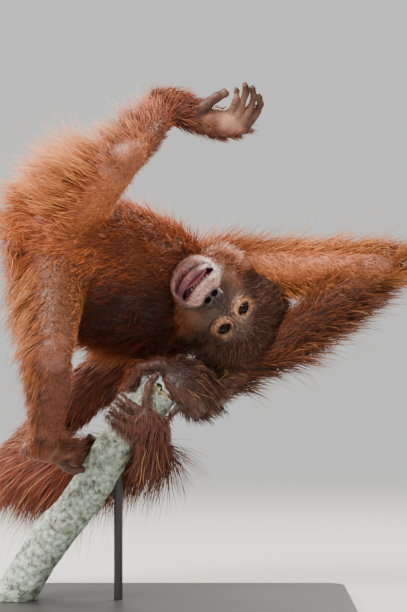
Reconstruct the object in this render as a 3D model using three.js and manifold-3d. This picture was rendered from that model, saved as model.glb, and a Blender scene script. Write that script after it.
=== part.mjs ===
// A young orangutan, life size, that clings to a broken branch on a plain display stand.
// Millimetres, +Z up. X runs to the right and Y away from the side that the face looks to.
// The origin is on the underside of the base.
import * as THREE from "three";
import { mergeVertices } from "three/addons/utils/BufferGeometryUtils.js";
import Module from "manifold-3d";

const wasm = await Module();
wasm.setup();

// Lengths of the bones, between the middles of the joints
const HUMERUS = 245;
const FOREARM = 243;
const FEMUR = 142;
const TIBIA = 138;

// Gap that touching nodes keep, and how far hair roots are sunk
const GAP = 0.3;
const SUNK = 6;
const LOCK_STEPS = 2;
const SMOOTHED = 0.0;

// Base and branch
const BASE = { width: 500, depth: 330, thickness: 14, corner: 26, middleX: -50, middleY: 15 };
const BRANCH_RADIUS = 28;
const ROD = { radius: 6, x: -115, y: 0, top: 215 };

// Eyeball, and the half sizes of the skull
const EYE_RADIUS = 10.5;
const EYE_SPACING = 38;

const V = (x, y, z) => new THREE.Vector3(x, y, z);
const reach = (from, length, x, y, z) => from.clone().addScaledVector(V(x, y, z).normalize(), length);
const mix = (a, b, share) => a.clone().lerp(b, share);

// Joints of the skeleton
const pelvis = V(-189, -50, 490);
const belly = V(-122, 20, 448);
const chest = V(-56, 85, 425);
const collar = V(-19, 118, 420);
const rightHip = V(-184, -60, 532);
const leftHip = V(-202, -60, 452);
const rightShoulder = V(26, 118, 462);
const leftShoulder = V(-100, 118, 352);
const rightKnee = reach(rightHip, FEMUR, 0.58, -0.65, 0.49);
const rightAnkle = reach(rightKnee, TIBIA, 0.39, 0.76, 0.52);
const leftKnee = reach(leftHip, FEMUR, 0.05, -0.68, -0.73);
const leftAnkle = reach(leftKnee, TIBIA, -0.08, 0.64, -0.76);
const rightElbow = reach(rightShoulder, HUMERUS, 0.84, -0.54, 0.0);
const rightWrist = reach(rightElbow, FOREARM, -0.755, 0.29, -0.588);
const leftElbow = reach(leftShoulder, HUMERUS, -0.71, 0.15, -0.69);
const leftWrist = reach(leftElbow, FOREARM, 0.86, -0.5, 0.1);

// The head's own axes: right, up to the crown, and forward to the nose
const eyes = V(40, 6, 394);
const HEAD_TILT = 0.2;
const crownLine = V(0.725, 0, -0.69);
const headRight = V(0.69, 0, 0.725);
const headUp = crownLine.clone().multiplyScalar(Math.cos(HEAD_TILT)).add(V(0, Math.sin(HEAD_TILT), 0)).normalize();
const headFront = headUp.clone().cross(headRight).normalize();
const inHead = (right, up, front) =>
  eyes.clone().addScaledVector(headRight, right).addScaledVector(headUp, up).addScaledVector(headFront, front);

// The branch runs up from the base to its broken end in the hands.
const branchFoot = V(-262, 0, BASE.thickness + GAP);
const branchEnd = V(-57, 0, 303);
const branchLine = branchEnd.clone().sub(branchFoot).normalize();
const branchSide = V(branchLine.z, 0, -branchLine.x);

// Materials, as the photo shows them
const look = (color, roughness, metalness = 0) => new THREE.MeshStandardMaterial({ color, roughness, metalness });
const coatOrange = look(0xa8592c, 0.85);
const coatDark = look(0x5e2c1c, 0.85);
const faceSkin = look(0x8d6a5c, 0.6);
const handSkin = look(0x7c5546, 0.65);
const eyeDark = look(0x1c110c, 0.15);
const bark = look(0xb9b6a6, 0.9);
const standBlack = look(0x2b2b2d, 0.5);

// A manifold from a three.js geometry whose faces point out
function solid(geometry) {
  const bare = geometry.clone();
  bare.deleteAttribute("normal");
  bare.deleteAttribute("uv");
  const merged = mergeVertices(bare, 1e-4);
  return new wasm.Manifold(
    new wasm.Mesh({
      numProp: 3,
      vertProperties: new Float32Array(merged.attributes.position.array),
      triVerts: new Uint32Array(merged.index.array),
    }),
  );
}

// The largest closed body of a solid
function largest(body) {
  const bodies = body.decompose();
  return bodies.reduce((best, next) => (next.volume() > best.volume() ? next : best));
}

// A body of oval sections along a smooth line. A station is [centre, half width, half depth];
// wide is the direction of the width. point(along, turn, grow) gives a place on its skin.
class Loft {
  constructor(stations, wide, sides, rings, capRings = 2) {
    this.line = new THREE.CatmullRomCurve3(stations.map((s) => s[0]));
    this.size = new THREE.CatmullRomCurve3(stations.map((s) => V(s[1], s[2] ?? s[1], 0)));
    Object.assign(this, { wide, sides, rings, cap: capRings / rings });
  }
  point(along, turn, grow = 0) {
    const t = THREE.MathUtils.clamp(along, 0, 1);
    const centre = this.line.getPoint(t);
    const tangent = this.line.getTangent(t);
    const width = this.wide.clone().addScaledVector(tangent, -this.wide.dot(tangent)).normalize();
    const depth = tangent.clone().cross(width);
    const size = this.size.getPoint(t);
    const inset = Math.max(0, 1 - Math.min(t, 1 - t) / this.cap);
    const round = Math.sqrt(Math.max(0, 1 - inset * inset));
    if (grow) centre.addScaledVector(tangent, grow * inset * (t < 0.5 ? -1 : 1));
    centre.addScaledVector(width, Math.cos(turn) * (size.x + grow) * round);
    return centre.addScaledVector(depth, Math.sin(turn) * (size.y + grow) * round);
  }
  normal(along, turn) {
    const step = 0.02;
    const here = this.point(along, turn);
    const across = this.point(along, turn + step).sub(here);
    const ahead = this.point(along + step, turn).sub(here);
    return ahead.cross(across).negate().normalize();
  }
  solid(grow = 0) {
    const geometry = new THREE.SphereGeometry(1, this.sides, this.rings);
    const position = geometry.attributes.position;
    for (let i = 0; i < position.count; i++) {
      const x = position.getX(i);
      const z = position.getZ(i);
      const along = Math.acos(THREE.MathUtils.clamp(position.getY(i), -1, 1)) / Math.PI;
      const moved = this.point(along, Math.atan2(z, x), grow);
      position.setXYZ(i, moved.x, moved.y, moved.z);
    }
    return solid(geometry);
  }
}

// A seeded random number from 0 to 1
function seeded(seed) {
  let state = seed;
  return () => {
    state = (state * 1664525 + 1013904223) % 4294967296;
    return state / 4294967296;
  };
}

// A flat, tapered lock of hair that leaves its root along the coat's lie and bends down at its tip
function lock(root, out, lie, length, width, thick, droop, grow = 0) {
  const start = root.clone().addScaledVector(out, -SUNK);
  const first = out.clone().multiplyScalar(0.26).add(lie).normalize();
  const last = first.clone().multiplyScalar(1 - droop).add(V(0, 0, -droop)).normalize();
  const line = new THREE.QuadraticBezierCurve3(
    start,
    start.clone().addScaledVector(first, (length + SUNK) * 0.5),
    start.clone().addScaledVector(first, (length + SUNK) * 0.5).addScaledVector(last, length * 0.5 + grow),
  );
  const across = out.clone().cross(lie).normalize();
  const geometry = new THREE.ConeGeometry(1, 1, 4, LOCK_STEPS);
  const position = geometry.attributes.position;
  for (let i = 0; i < position.count; i++) {
    const along = position.getY(i) + 0.5;
    const radius = Math.hypot(position.getX(i), position.getZ(i));
    const turn = Math.atan2(position.getZ(i), position.getX(i));
    const tangent = line.getTangent(along);
    const side = across.clone().addScaledVector(tangent, -across.dot(tangent)).normalize();
    const up = side.clone().cross(tangent);
    const share = radius > 1e-6 ? Math.sqrt(1 - along) * (0.75 + 0.5 * along) : 0;
    const moved = line.getPoint(along);
    moved.addScaledVector(side, Math.cos(turn) * (width / 2 + grow) * share);
    moved.addScaledVector(up, Math.sin(turn) * (thick / 2 + grow) * share);
    position.setXYZ(i, moved.x, moved.y, moved.z);
  }
  return solid(geometry);
}

// Rows of locks over a loft. Each row is at a share along it, between two turns round it.
// lie is the coat's direction, lift how far it stands off, and droop how far a tip turns down.
function locks(loft, plan, grow = 0) {
  const random = seeded(plan.seed);
  const made = [];
  for (let row = 0; row < plan.rows; row++) {
    const along = plan.from + ((plan.to - plan.from) * (row + 0.5)) / plan.rows;
    for (let column = 0; column < plan.columns; column++) {
      const shift = (row % 2) * 0.5 + (random() - 0.5) * 0.3;
      const turn = plan.start + (plan.sweep * (column + shift + 0.25)) / plan.columns;
      const out = loft.normal(along, turn);
      const lie = plan.lie.clone().normalize().addScaledVector(out, plan.lift).normalize();
      const length = plan.length * (0.85 + 0.3 * random());
      made.push(lock(loft.point(along, turn), out, lie, length, plan.width, plan.thick ?? 9, plan.droop ?? 0.2, grow));
    }
  }
  return made;
}


// Torso, from the rump to the root of the neck. Its width runs from hip to hip.
const hipLine = V(0.3, 0.06, 0.95).normalize();
const torso = new Loft(
  [
    [V(-226, -86, 512), 30, 26],
    [pelvis, 66, 56],
    [belly, 101, 84],
    [chest, 92, 74],
    [collar, 62, 54],
    [V(6, 134, 416), 30, 28],
  ],
  hipLine,
  18,
  12,
);

// Limbs. Half widths are flesh with the inner half of the coat.
const rightUpperArm = new Loft(
  [
    [reach(rightShoulder, 16, -0.84, 0.54, 0), 36],
    [mix(rightShoulder, rightElbow, 0.25), 35],
    [mix(rightShoulder, rightElbow, 0.6), 30],
    [rightElbow, 27],
    [reach(rightElbow, 12, 0.84, -0.54, 0), 18],
  ],
  V(0, 0, 1),
  10,
  8,
);
const rightForearm = new Loft(
  [
    [reach(rightElbow, 8, 0.8, -0.3, 0.4), 24],
    [mix(rightElbow, rightWrist, 0.25).add(V(2, 4, -6)), 30],
    [mix(rightElbow, rightWrist, 0.6).add(V(4, 8, -6)), 26],
    [rightWrist, 18],
    [reach(rightWrist, 6, -0.755, 0.29, -0.588), 16],
  ],
  V(0, 1, 0),
  10,
  8,
);
const leftUpperArm = new Loft(
  [
    [reach(leftShoulder, 16, 0.71, -0.15, 0.69), 36],
    [mix(leftShoulder, leftElbow, 0.25), 35],
    [mix(leftShoulder, leftElbow, 0.6), 30],
    [leftElbow, 27],
    [reach(leftElbow, 10, -0.8, 0.2, -0.5), 18],
  ],
  V(0, 1, 0),
  10,
  8,
);
const leftForearm = new Loft(
  [
    [reach(leftElbow, 8, -0.9, 0.3, -0.2), 24],
    [mix(leftElbow, leftWrist, 0.25).add(V(0, 0, -5)), 31],
    [mix(leftElbow, leftWrist, 0.6).add(V(0, 2, -4)), 27],
    [leftWrist, 18],
    [reach(leftWrist, 8, 0.86, -0.5, 0.1), 16],
  ],
  V(0, 1, 0),
  10,
  8,
);
const rightThigh = new Loft(
  [
    [reach(rightHip, 44, -0.8, 0.2, -0.5), 34],
    [rightHip, 50],
    [mix(rightHip, rightKnee, 0.5), 41],
    [rightKnee, 29],
    [reach(rightKnee, 9, 0.45, -0.8, 0.3), 20],
  ],
  V(0, 0, 1),
  10,
  8,
);
const rightShank = new Loft(
  [
    [reach(rightKnee, 10, -0.2, -0.9, -0.2), 22],
    [mix(rightKnee, rightAnkle, 0.25), 29],
    [mix(rightKnee, rightAnkle, 0.6), 25],
    [rightAnkle, 19],
    [reach(rightAnkle, 8, 0.3, 0.76, 0.4), 15],
  ],
  V(1, 0, 0),
  10,
  8,
);
const leftThigh = new Loft(
  [
    [reach(leftHip, 40, -0.5, 0.2, 0.8), 30],
    [leftHip, 48],
    [mix(leftHip, leftKnee, 0.5), 40],
    [leftKnee, 28],
    [reach(leftKnee, 9, 0, -0.9, -0.3), 20],
  ],
  V(1, 0, 0),
  10,
  8,
);
const leftShank = new Loft(
  [
    [reach(leftKnee, 10, 0, -0.8, 0.4), 22],
    [mix(leftKnee, leftAnkle, 0.25).add(V(0, 3, 0)), 29],
    [mix(leftKnee, leftAnkle, 0.6), 25],
    [leftAnkle, 20],
    [reach(leftAnkle, 10, -0.1, 0.5, -0.8), 16],
  ],
  V(1, 0, 0),
  10,
  8,
);
const neck = new Loft(
  [
    [mix(collar, chest, 0.4), 40],
    [collar, 43],
    [inHead(0, -34, -70), 40],
    [inHead(0, -20, -45), 34],
  ],
  hipLine,
  12,
  6,
);

// A digit of a hand or foot, thick at its root and round at its tip
const DIGIT = 6.6;
const digit = (...places) =>
  new Loft(
    places.map((place, i) => [place, DIGIT * (1.12 - (0.3 * i) / (places.length - 1))]),
    V(0.3, 0.9, 0.2),
    5,
    6,
  );

// A place by the branch: so far below its broken end, turned round it from the front, off its axis
const byBranch = (below, turn, off) =>
  branchEnd
    .clone()
    .addScaledVector(branchLine, -below)
    .addScaledVector(V(0, -1, 0), Math.cos(turn) * off)
    .addScaledVector(branchSide, Math.sin(turn) * off);

// A place past the broken end, by its distance to the side and its depth
const overEnd = (below, side, depth) =>
  branchEnd.clone().addScaledVector(branchLine, -below).addScaledVector(branchSide, side).add(V(0, depth, 0));

// Right hand: it comes from behind, and its fingers bend over the broken end.
const rightHand = [
  new Loft(
    [
      [reach(rightWrist, 3, 0.755, -0.29, 0.588), 17, 15],
      [overEnd(-20, 62, 44), 24, 17],
      [overEnd(-14, 46, 22), 31, 18],
      [overEnd(-16, 26, 8), 29, 15],
      [overEnd(-20, 6, 8), 22, 10],
    ],
    branchLine.clone().multiplyScalar(0.8).add(V(0, 0.6, 0)),
    12,
    9,
  ),
  ...[-4, 11, 26, 39].map((depth, n) =>
    digit(
      overEnd(-23, 12, depth * 0.8 + 3),
      overEnd(-22, -16, depth),
      overEnd(-2 + 2 * n, -37, depth * 1.05),
      overEnd(22 + 2 * n, -33, depth * 0.9 + 4),
    ),
  ),
  digit(overEnd(-12, 40, 14), byBranch(4, 1.35, 40), byBranch(22, 1.15, 37)),
];

// Left hand: it comes round the right side of the branch, its back to the front.
const leftHand = [
  new Loft(
    [
      [reach(leftWrist, 4, -0.86, 0.5, -0.1), 17, 15],
      [byBranch(80, 1.75, 50), 20, 15],
      [byBranch(70, 1.15, 43), 25, 13],
      [byBranch(60, 0.55, 41), 28, 12],
      [byBranch(54, 0.05, 38), 25, 9],
    ],
    branchLine,
    12,
    9,
  ),
  digit(byBranch(42, 0.2, 37), byBranch(26, -0.15, 36), byBranch(10, -0.4, 35), byBranch(-6, -0.5, 27)),
  ...[44, 59, 73].map((below) =>
    digit(byBranch(below, 0.2, 38), byBranch(below, -0.55, 37), byBranch(below, -1.25, 36), byBranch(below, -1.9, 36)),
  ),
  digit(byBranch(72, 1.5, 46), byBranch(50, 1.25, 41), byBranch(32, 1.05, 37)),
];

// Right foot: raised, its sole to the front and its toes bent upwards
const rightFoot = [
  new Loft(
    [
      [V(-62, -46, 684), 13, 13],
      [V(-46, -46, 676), 20, 18],
      [V(-22, -46, 667), 21, 18],
      [V(8, -42, 656), 21, 15],
      [V(34, -38, 652), 20, 12],
      [V(56, -32, 656), 18, 9],
    ],
    V(0.3, -0.35, 0.9),
    10,
    8,
  ),
  digit(V(32, -38, 656), V(38, -46, 672), V(43, -54, 685), V(44, -54, 696)),
  digit(V(42, -38, 655), V(50, -46, 676), V(56, -56, 692), V(55, -60, 702)),
  digit(V(52, -36, 655), V(62, -42, 674), V(67, -52, 688), V(65, -58, 698)),
  digit(V(60, -32, 654), V(71, -36, 668), V(76, -44, 679), V(74, -50, 688)),
  digit(V(-14, -52, 664), V(4, -58, 677), V(17, -60, 686), V(30, -58, 693)),
];

// Left foot: it stands on its heel, and its toes reach behind the branch.
const leftFoot = [
  new Loft(
    [
      [V(-228, -56, 220), 14, 14],
      [V(-212, -52, 222), 20, 17],
      [V(-192, -34, 216), 19, 15],
      [V(-174, -8, 211), 19, 13],
      [V(-164, 14, 210), 20, 11],
      [V(-158, 26, 210), 16, 8],
    ],
    V(0.1, -0.1, 1),
    10,
    8,
  ),
  ...[116, 129, 142, 154].map((below) =>
    digit(byBranch(below, -1.85, 40), byBranch(below, -2.5, 37), byBranch(below, -3.1, 36.5), byBranch(below - 3, -3.7, 36)),
  ),
  digit(V(-196, -34, 208), V(-184, -40, 196), V(-172, -40, 190), V(-162, -34, 192)),
];

// Skull, face, muzzle, jaw, brow and cheeks, as ovals: middle and half sizes by right, up and front
const HEAD_OVALS = [
  { middle: [0, 18, -48], half: [60, 61, 64] },
  { middle: [0, -20, -24], half: [46, 54, 35] },
  { middle: [0, -66, -4], half: [38, 34, 46] },
  { middle: [0, -86, -10], half: [33, 25, 35] },
  { middle: [0, 15, -10], half: [41, 11, 19] },
  { middle: [33, -44, -32], half: [25, 36, 30] },
  { middle: [-33, -44, -32], half: [25, 36, 30] },
];
const HEAD_MIDDLE = V(0, -16, -34);
const BLEND = 14;

// Distance from an inner point, along a direction, to an oval's far side, or 0 where it misses
function farSide(from, direction, oval, grow) {
  const half = V(...oval.half).addScalar(grow);
  const start = from.clone().sub(V(...oval.middle)).divide(half);
  const ray = direction.clone().divide(half);
  const a = ray.lengthSq();
  const b = start.dot(ray);
  const root = b * b - a * (start.lengthSq() - 1);
  return root > 0 ? Math.max(0, (-b + Math.sqrt(root)) / a) : 0;
}

// The head as one smooth form round its middle; rings crowd towards the face.
function headForm(grow = 0, sides = 26, rings = 19) {
  const geometry = new THREE.SphereGeometry(1, sides, rings);
  const position = geometry.attributes.position;
  for (let i = 0; i < position.count; i++) {
    const x = position.getX(i);
    const z = position.getZ(i);
    const polar = Math.acos(THREE.MathUtils.clamp(position.getY(i), -1, 1));
    const opened = Math.PI * (polar / Math.PI) ** 1.35;
    const turn = Math.atan2(z, x);
    const pole = V(0, -0.5, 0.866);
    const over = V(0, 0.866, 0.5);
    const way = V(Math.sin(opened) * Math.cos(turn), 0, 0)
      .addScaledVector(over, -Math.sin(opened) * Math.sin(turn))
      .addScaledVector(pole, Math.cos(opened));
    const sum = HEAD_OVALS.reduce((all, oval) => all + farSide(HEAD_MIDDLE, way, oval, grow) ** BLEND, 0);
    const place = HEAD_MIDDLE.clone().addScaledVector(way, sum ** (1 / BLEND));
    const moved = inHead(-place.x, place.y, place.z);
    position.setXYZ(i, moved.x, moved.y, moved.z);
  }
  return solid(geometry);
}

// A three.js geometry set into the head at a place, with its own X, Y and Z as left, up and front
const headTurn = new THREE.Matrix4().makeBasis(headRight.clone().negate(), headUp, headFront);
function inHeadSolid(geometry, right, up, front) {
  const place = inHead(right, up, front);
  return solid(geometry.applyMatrix4(headTurn).translate(place.x, place.y, place.z));
}

// A line across the mouth, from corner to corner, at a height and a reach to the front
const MOUTH_HALF = 29;
const mouthLine = (up, front) =>
  [-1, -0.6, 0, 0.6, 1].map((s) => [s * MOUTH_HALF, up + 5 * s * s, front - 27 * s * s * (0.55 + 0.45 * s * s)]);
const mouthLoft = (up, front, half, deep) =>
  new Loft(
    mouthLine(up, front).map(([right, high, reachOut], i) => {
      const share = i % 4 === 0 ? 0.45 : 1;
      return [inHead(right, high, reachOut), half * share, deep * share];
    }),
    headUp,
    6,
    8,
  );

function makeHead() {
  const side = EYE_SPACING / 2;
  let head = headForm();
  const added = [mouthLoft(-68, 42, 4, 5).solid(), mouthLoft(-84, 38, 4.2, 6).solid()];
  for (const s of [-1, 1]) {
    const lids = new THREE.TorusGeometry(EYE_RADIUS - 1, 2.6, 5, 10);
    added.push(inHeadSolid(lids.scale(1.08, 0.84, 1), s * side, 0, 6.5));
    const wing = new THREE.SphereGeometry(1, 8, 6).scale(6, 5, 6);
    added.push(inHeadSolid(wing, s * 6.5, -45, 33));
  }
  head = wasm.Manifold.union([head, ...added]);
  const cut = [mouthLoft(-76, 44, 4.6, 13).solid()];
  for (const s of [-1, 1]) {
    cut.push(inHeadSolid(new THREE.SphereGeometry(EYE_RADIUS + GAP, 12, 8), s * side, 0, 0));
    cut.push(inHeadSolid(new THREE.SphereGeometry(1, 6, 5).scale(3.4, 2.6, 5), s * 5.6, -49, 38));
  }
  head = head.subtract(wasm.Manifold.union(cut));
  const teeth = [-1, 0, 1].map((n) =>
    inHeadSolid(new THREE.BoxGeometry(9, 7, 5), n * 10, -72.5, 34 - 3 * n * n),
  );
  return wasm.Manifold.union([head, ...teeth]);
}

// An eyeball
const makeEye = (side, grow = 0) =>
  inHeadSolid(new THREE.SphereGeometry(EYE_RADIUS + grow, 12, 8), (side * EYE_SPACING) / 2, 0, 0);

// An ear: a small upright oval with a hollowed cup, on the side of the skull
function makeEar(side) {
  const shell = inHeadSolid(new THREE.SphereGeometry(1, 10, 8).scale(6, 17, 11), side * 58, -8, -52);
  const cup = inHeadSolid(new THREE.SphereGeometry(1, 8, 6).scale(6, 12, 7), side * 63.5, -7, -50);
  return shell.subtract(cup);
}

// The coat. Turns run round each form from its width; tails of locks point along lie.
const FULL = 2 * Math.PI;
const toTail = pelvis.clone().sub(chest).normalize();
const chestCoats = [
  { loft: torso, seed: 11, from: 0.58, to: 0.9, rows: 3, start: 0, sweep: FULL, columns: 7, lie: toTail },
].map((coat) => ({ length: 80, width: 64, lift: 0.12, ...coat }));
const rumpCoats = [
  { loft: torso, seed: 12, from: 0.08, to: 0.56, rows: 4, start: 0, sweep: FULL, columns: 7, lie: toTail },
].map((coat) => ({ length: 72, width: 64, lift: 0.12, ...coat }));

// The crown as a loft through the skull, from brow to nape, for the roots of its hair
const crown = new Loft(
  [
    [inHead(0, 36, 6), 30, 20],
    [inHead(0, 22, -24), 55, 56],
    [inHead(0, 18, -60), 59, 60],
    [inHead(0, 6, -100), 34, 34],
  ],
  headRight,
  12,
  8,
);
const crownCoat = {
  ...{ seed: 13, from: 0.3, to: 0.9, rows: 3, start: 0, sweep: FULL, columns: 6 },
  ...{ lie: headFront.clone().negate(), length: 50, width: 44, lift: 0.5, droop: 0.05 },
};

const limbCoat = (loft, seed, lie, more) => ({
  ...{ loft, seed, from: 0.08, to: 0.86, rows: 3, start: 0, sweep: FULL, columns: 4 },
  ...{ lie, length: 70, width: 44, lift: 0.1, ...more },
});
const along = (from, to) => to.clone().sub(from);
const limb = (name, material, pivot, forms, coats = []) => ({ name, material, pivot, forms, coats });
const neckLie = V(-0.6, 0.2, -0.4);
const hangLie = V(-0.3, 0.1, -0.6);
const limbs = [
  limb("neck", coatOrange, collar, [neck], [
    limbCoat(neck, 21, neckLie, { from: 0.2, to: 0.8, rows: 2, columns: 5 }),
  ]),
  limb("right_upper_arm", coatOrange, rightShoulder, [rightUpperArm], [
    limbCoat(rightUpperArm, 22, along(rightShoulder, rightElbow), { length: 74 }),
  ]),
  limb("left_upper_arm", coatOrange, leftShoulder, [leftUpperArm], [
    limbCoat(leftUpperArm, 23, along(leftShoulder, leftElbow), { length: 74, droop: 0.4 }),
  ]),
  limb("right_thigh", coatOrange, rightHip, [rightThigh], [
    limbCoat(rightThigh, 24, along(rightHip, rightKnee), { length: 56, width: 52, to: 0.8 }),
  ]),
  limb("left_thigh", coatOrange, leftHip, [leftThigh], [
    limbCoat(leftThigh, 25, along(leftHip, leftKnee), { length: 56, width: 52, to: 0.8 }),
  ]),
  limb("right_forearm", coatDark, rightElbow, [rightForearm], [
    limbCoat(rightForearm, 26, along(rightWrist, rightElbow), { length: 72, droop: 0.35 }),
  ]),
  limb("left_forearm", coatDark, leftElbow, [leftForearm], [
    limbCoat(leftForearm, 27, hangLie, { length: 92, droop: 0.6 }),
  ]),
  limb("right_shank", coatOrange, rightKnee, [rightShank], [
    limbCoat(rightShank, 28, along(rightKnee, rightAnkle), { length: 48, from: 0.25, to: 0.8, rows: 2 }),
  ]),
  limb("left_shank", coatOrange, leftKnee, [leftShank], [
    limbCoat(leftShank, 29, along(leftKnee, leftAnkle), { length: 48, from: 0.25, to: 0.8, rows: 2 }),
  ]),
  limb("left_hand", handSkin, leftWrist, leftHand),
  limb("right_hand", handSkin, rightWrist, rightHand),
  limb("right_foot", handSkin, rightAnkle, rightFoot),
  limb("left_foot", handSkin, leftAnkle, leftFoot),
];

// The branch: uneven, cut level at its foot, and snapped off at a slant at its end
function makeBranch(grow = 0) {
  const steps = 9;
  const stations = [];
  for (let i = 0; i <= steps; i++) {
    const place = branchFoot.clone().lerp(branchEnd, (i / steps) * 1.12 - 0.08);
    place.addScaledVector(branchSide, 2.5 * Math.sin(i * 1.7)).add(V(0, 2 * Math.cos(i * 2.3), 0));
    const radius = BRANCH_RADIUS * (1.06 - 0.012 * i + 0.03 * Math.sin(i * 2.6));
    stations.push([place, radius, radius * 0.97]);
  }
  const whole = new Loft(stations, V(0, 1, 0), 16, 13, 0.4).solid(grow);
  const foot = BASE.thickness + GAP - grow;
  const slant = branchLine.clone().addScaledVector(branchSide, -0.35).add(V(0, 0.3, 0)).normalize();
  const step = branchLine.clone().addScaledVector(branchSide, 0.6).normalize();
  return whole
    .trimByPlane([0, 0, 1], foot)
    .trimByPlane(slant.clone().negate().toArray(), -slant.dot(branchEnd) - grow)
    .trimByPlane(step.clone().negate().toArray(), -step.dot(branchEnd) - 12 - grow);
}

// A plate with round corners, and a rod that stands on it under the branch
function makeBase() {
  const { width, depth, thickness, corner, middleX, middleY } = BASE;
  const outline = new THREE.Shape();
  const x = width / 2 - corner;
  const y = depth / 2 - corner;
  outline.absarc(x, y, corner, 0, Math.PI / 2);
  outline.absarc(-x, y, corner, Math.PI / 2, Math.PI);
  outline.absarc(-x, -y, corner, Math.PI, 1.5 * Math.PI);
  outline.absarc(x, -y, corner, 1.5 * Math.PI, 2 * Math.PI);
  const plate = new THREE.ExtrudeGeometry(outline, { depth: thickness, bevelEnabled: false, curveSegments: 6 });
  return solid(plate.translate(middleX, middleY, 0));
}
function makeRod(blocker) {
  const [top, foot] = [ROD.top, BASE.thickness + GAP];
  const bar = new THREE.CylinderGeometry(ROD.radius, ROD.radius, top - foot, 16);
  const upright = bar.rotateX(Math.PI / 2).translate(ROD.x, ROD.y, (top + foot) / 2);
  return solid(upright).subtract(blocker);
}

// Every part in the order of its right of way: a later one is cut clear of an earlier one.
const branch = makeBranch();
const branchRoom = makeBranch(GAP);
const rod = makeRod(branchRoom);
const base = makeBase();
const stand = wasm.Manifold.union([branchRoom, makeRod(branchRoom)]);

const parts = [];
const blockers = [stand];
function add(name, material, pivot, form, room, coats = []) {
  parts.push({ name, material, pivot, room, coats, body: form.subtract(wasm.Manifold.union(blockers)) });
  blockers.push(room);
}
const union = (forms, grow = 0) => wasm.Manifold.union(forms.map((form) => form.solid(grow)));
const addLimb = (name, material, pivot, forms, coats) =>
  add(name, material, pivot, union(forms), union(forms, GAP), coats);

const headRoom = headForm(GAP);
add("head", coatDark, inHead(0, -20, -60), makeHead(), headRoom, [{ ...crownCoat, loft: crown }]);
for (const [side, word] of [[1, "right"], [-1, "left"]]) {
  const place = inHead((side * EYE_SPACING) / 2, 0, 0);
  parts.push({ name: `eye_${word}`, material: eyeDark, pivot: place, body: makeEye(side), room: makeEye(side, GAP), coats: [] });
}
for (const [side, word] of [[1, "right"], [-1, "left"]]) {
  const ear = makeEar(side);
  add(`ear_${word}`, handSkin, inHead(side * 58, -8, -52), ear, ear);
}

// The torso in two parts, split across its line between rump and chest
const torsoBody = torso.solid();
const torsoRoom = torso.solid(GAP);
const waist = mix(belly, chest, 0.35);
const waistLine = chest.clone().sub(pelvis).normalize();
const waistAt = waistLine.dot(waist);
const chestSide = [waistLine.toArray(), waistAt + GAP / 2];
const rumpSide = [waistLine.clone().negate().toArray(), GAP / 2 - waistAt];
add("chest", coatOrange, chest, torsoBody.trimByPlane(...chestSide), torsoRoom.trimByPlane(...chestSide), chestCoats);
add("belly", coatOrange, belly, torsoBody.trimByPlane(...rumpSide), torsoRoom.trimByPlane(...rumpSide), rumpCoats);
for (const { name, material, pivot, forms, coats } of limbs) addLimb(name, material, pivot, forms, coats);

// Locks grow from their own part and are cut clear of every other part and of the locks before them.
const lockRoom = [];
for (const part of parts) {
  if (part.coats.length === 0) continue;
  const others = parts.filter((other) => other !== part).map((other) => other.room);
  const hair = wasm.Manifold.union(part.coats.flatMap((coat) => locks(coat.loft, coat)));
  const room = wasm.Manifold.union(part.coats.flatMap((coat) => locks(coat.loft, coat, GAP)));
  const clear = wasm.Manifold.union([stand, ...others, ...lockRoom]);
  part.body = part.body.add(hair.subtract(clear)).subtract(wasm.Manifold.union([stand, ...lockRoom]));
  lockRoom.push(room);
}

parts.push({ name: "perch_branch", material: bark, pivot: branchFoot, body: branch });
parts.push({ name: "stand_base", material: standBlack, pivot: V(BASE.middleX, BASE.middleY, 0), body: base });
parts.push({ name: "stand_rod", material: standBlack, pivot: V(ROD.x, ROD.y, 0), body: rod });

// A named mesh from the largest body of a solid, placed by its pivot
function toMesh({ name, material, pivot, body }) {
  const { numProp, vertProperties, triVerts } = largest(body.simplify(SMOOTHED)).getMesh();
  const places = [];
  for (let i = 0; i < vertProperties.length; i += numProp) places.push(...vertProperties.slice(i, i + 3));
  const geometry = new THREE.BufferGeometry();
  geometry.setAttribute("position", new THREE.Float32BufferAttribute(places, 3));
  geometry.setIndex([...triVerts]);
  geometry.translate(-pivot.x, -pivot.y, -pivot.z);
  geometry.computeVertexNormals();
  const mesh = new THREE.Mesh(geometry, material);
  mesh.name = name;
  mesh.position.copy(pivot);
  return mesh;
}

const orangutan = new THREE.Group();
parts.forEach((part) => orangutan.add(toMesh(part)));

export default orangutan;
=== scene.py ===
"""Looks of a life-size young orangutan that clings to a broken branch on a display stand.

Design numbers are in millimetres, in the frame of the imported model, and meshes are made in metres.
"""
import math

import bpy
import numpy as np
import openvdb
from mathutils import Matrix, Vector
from mathutils.kdtree import KDTree


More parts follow.
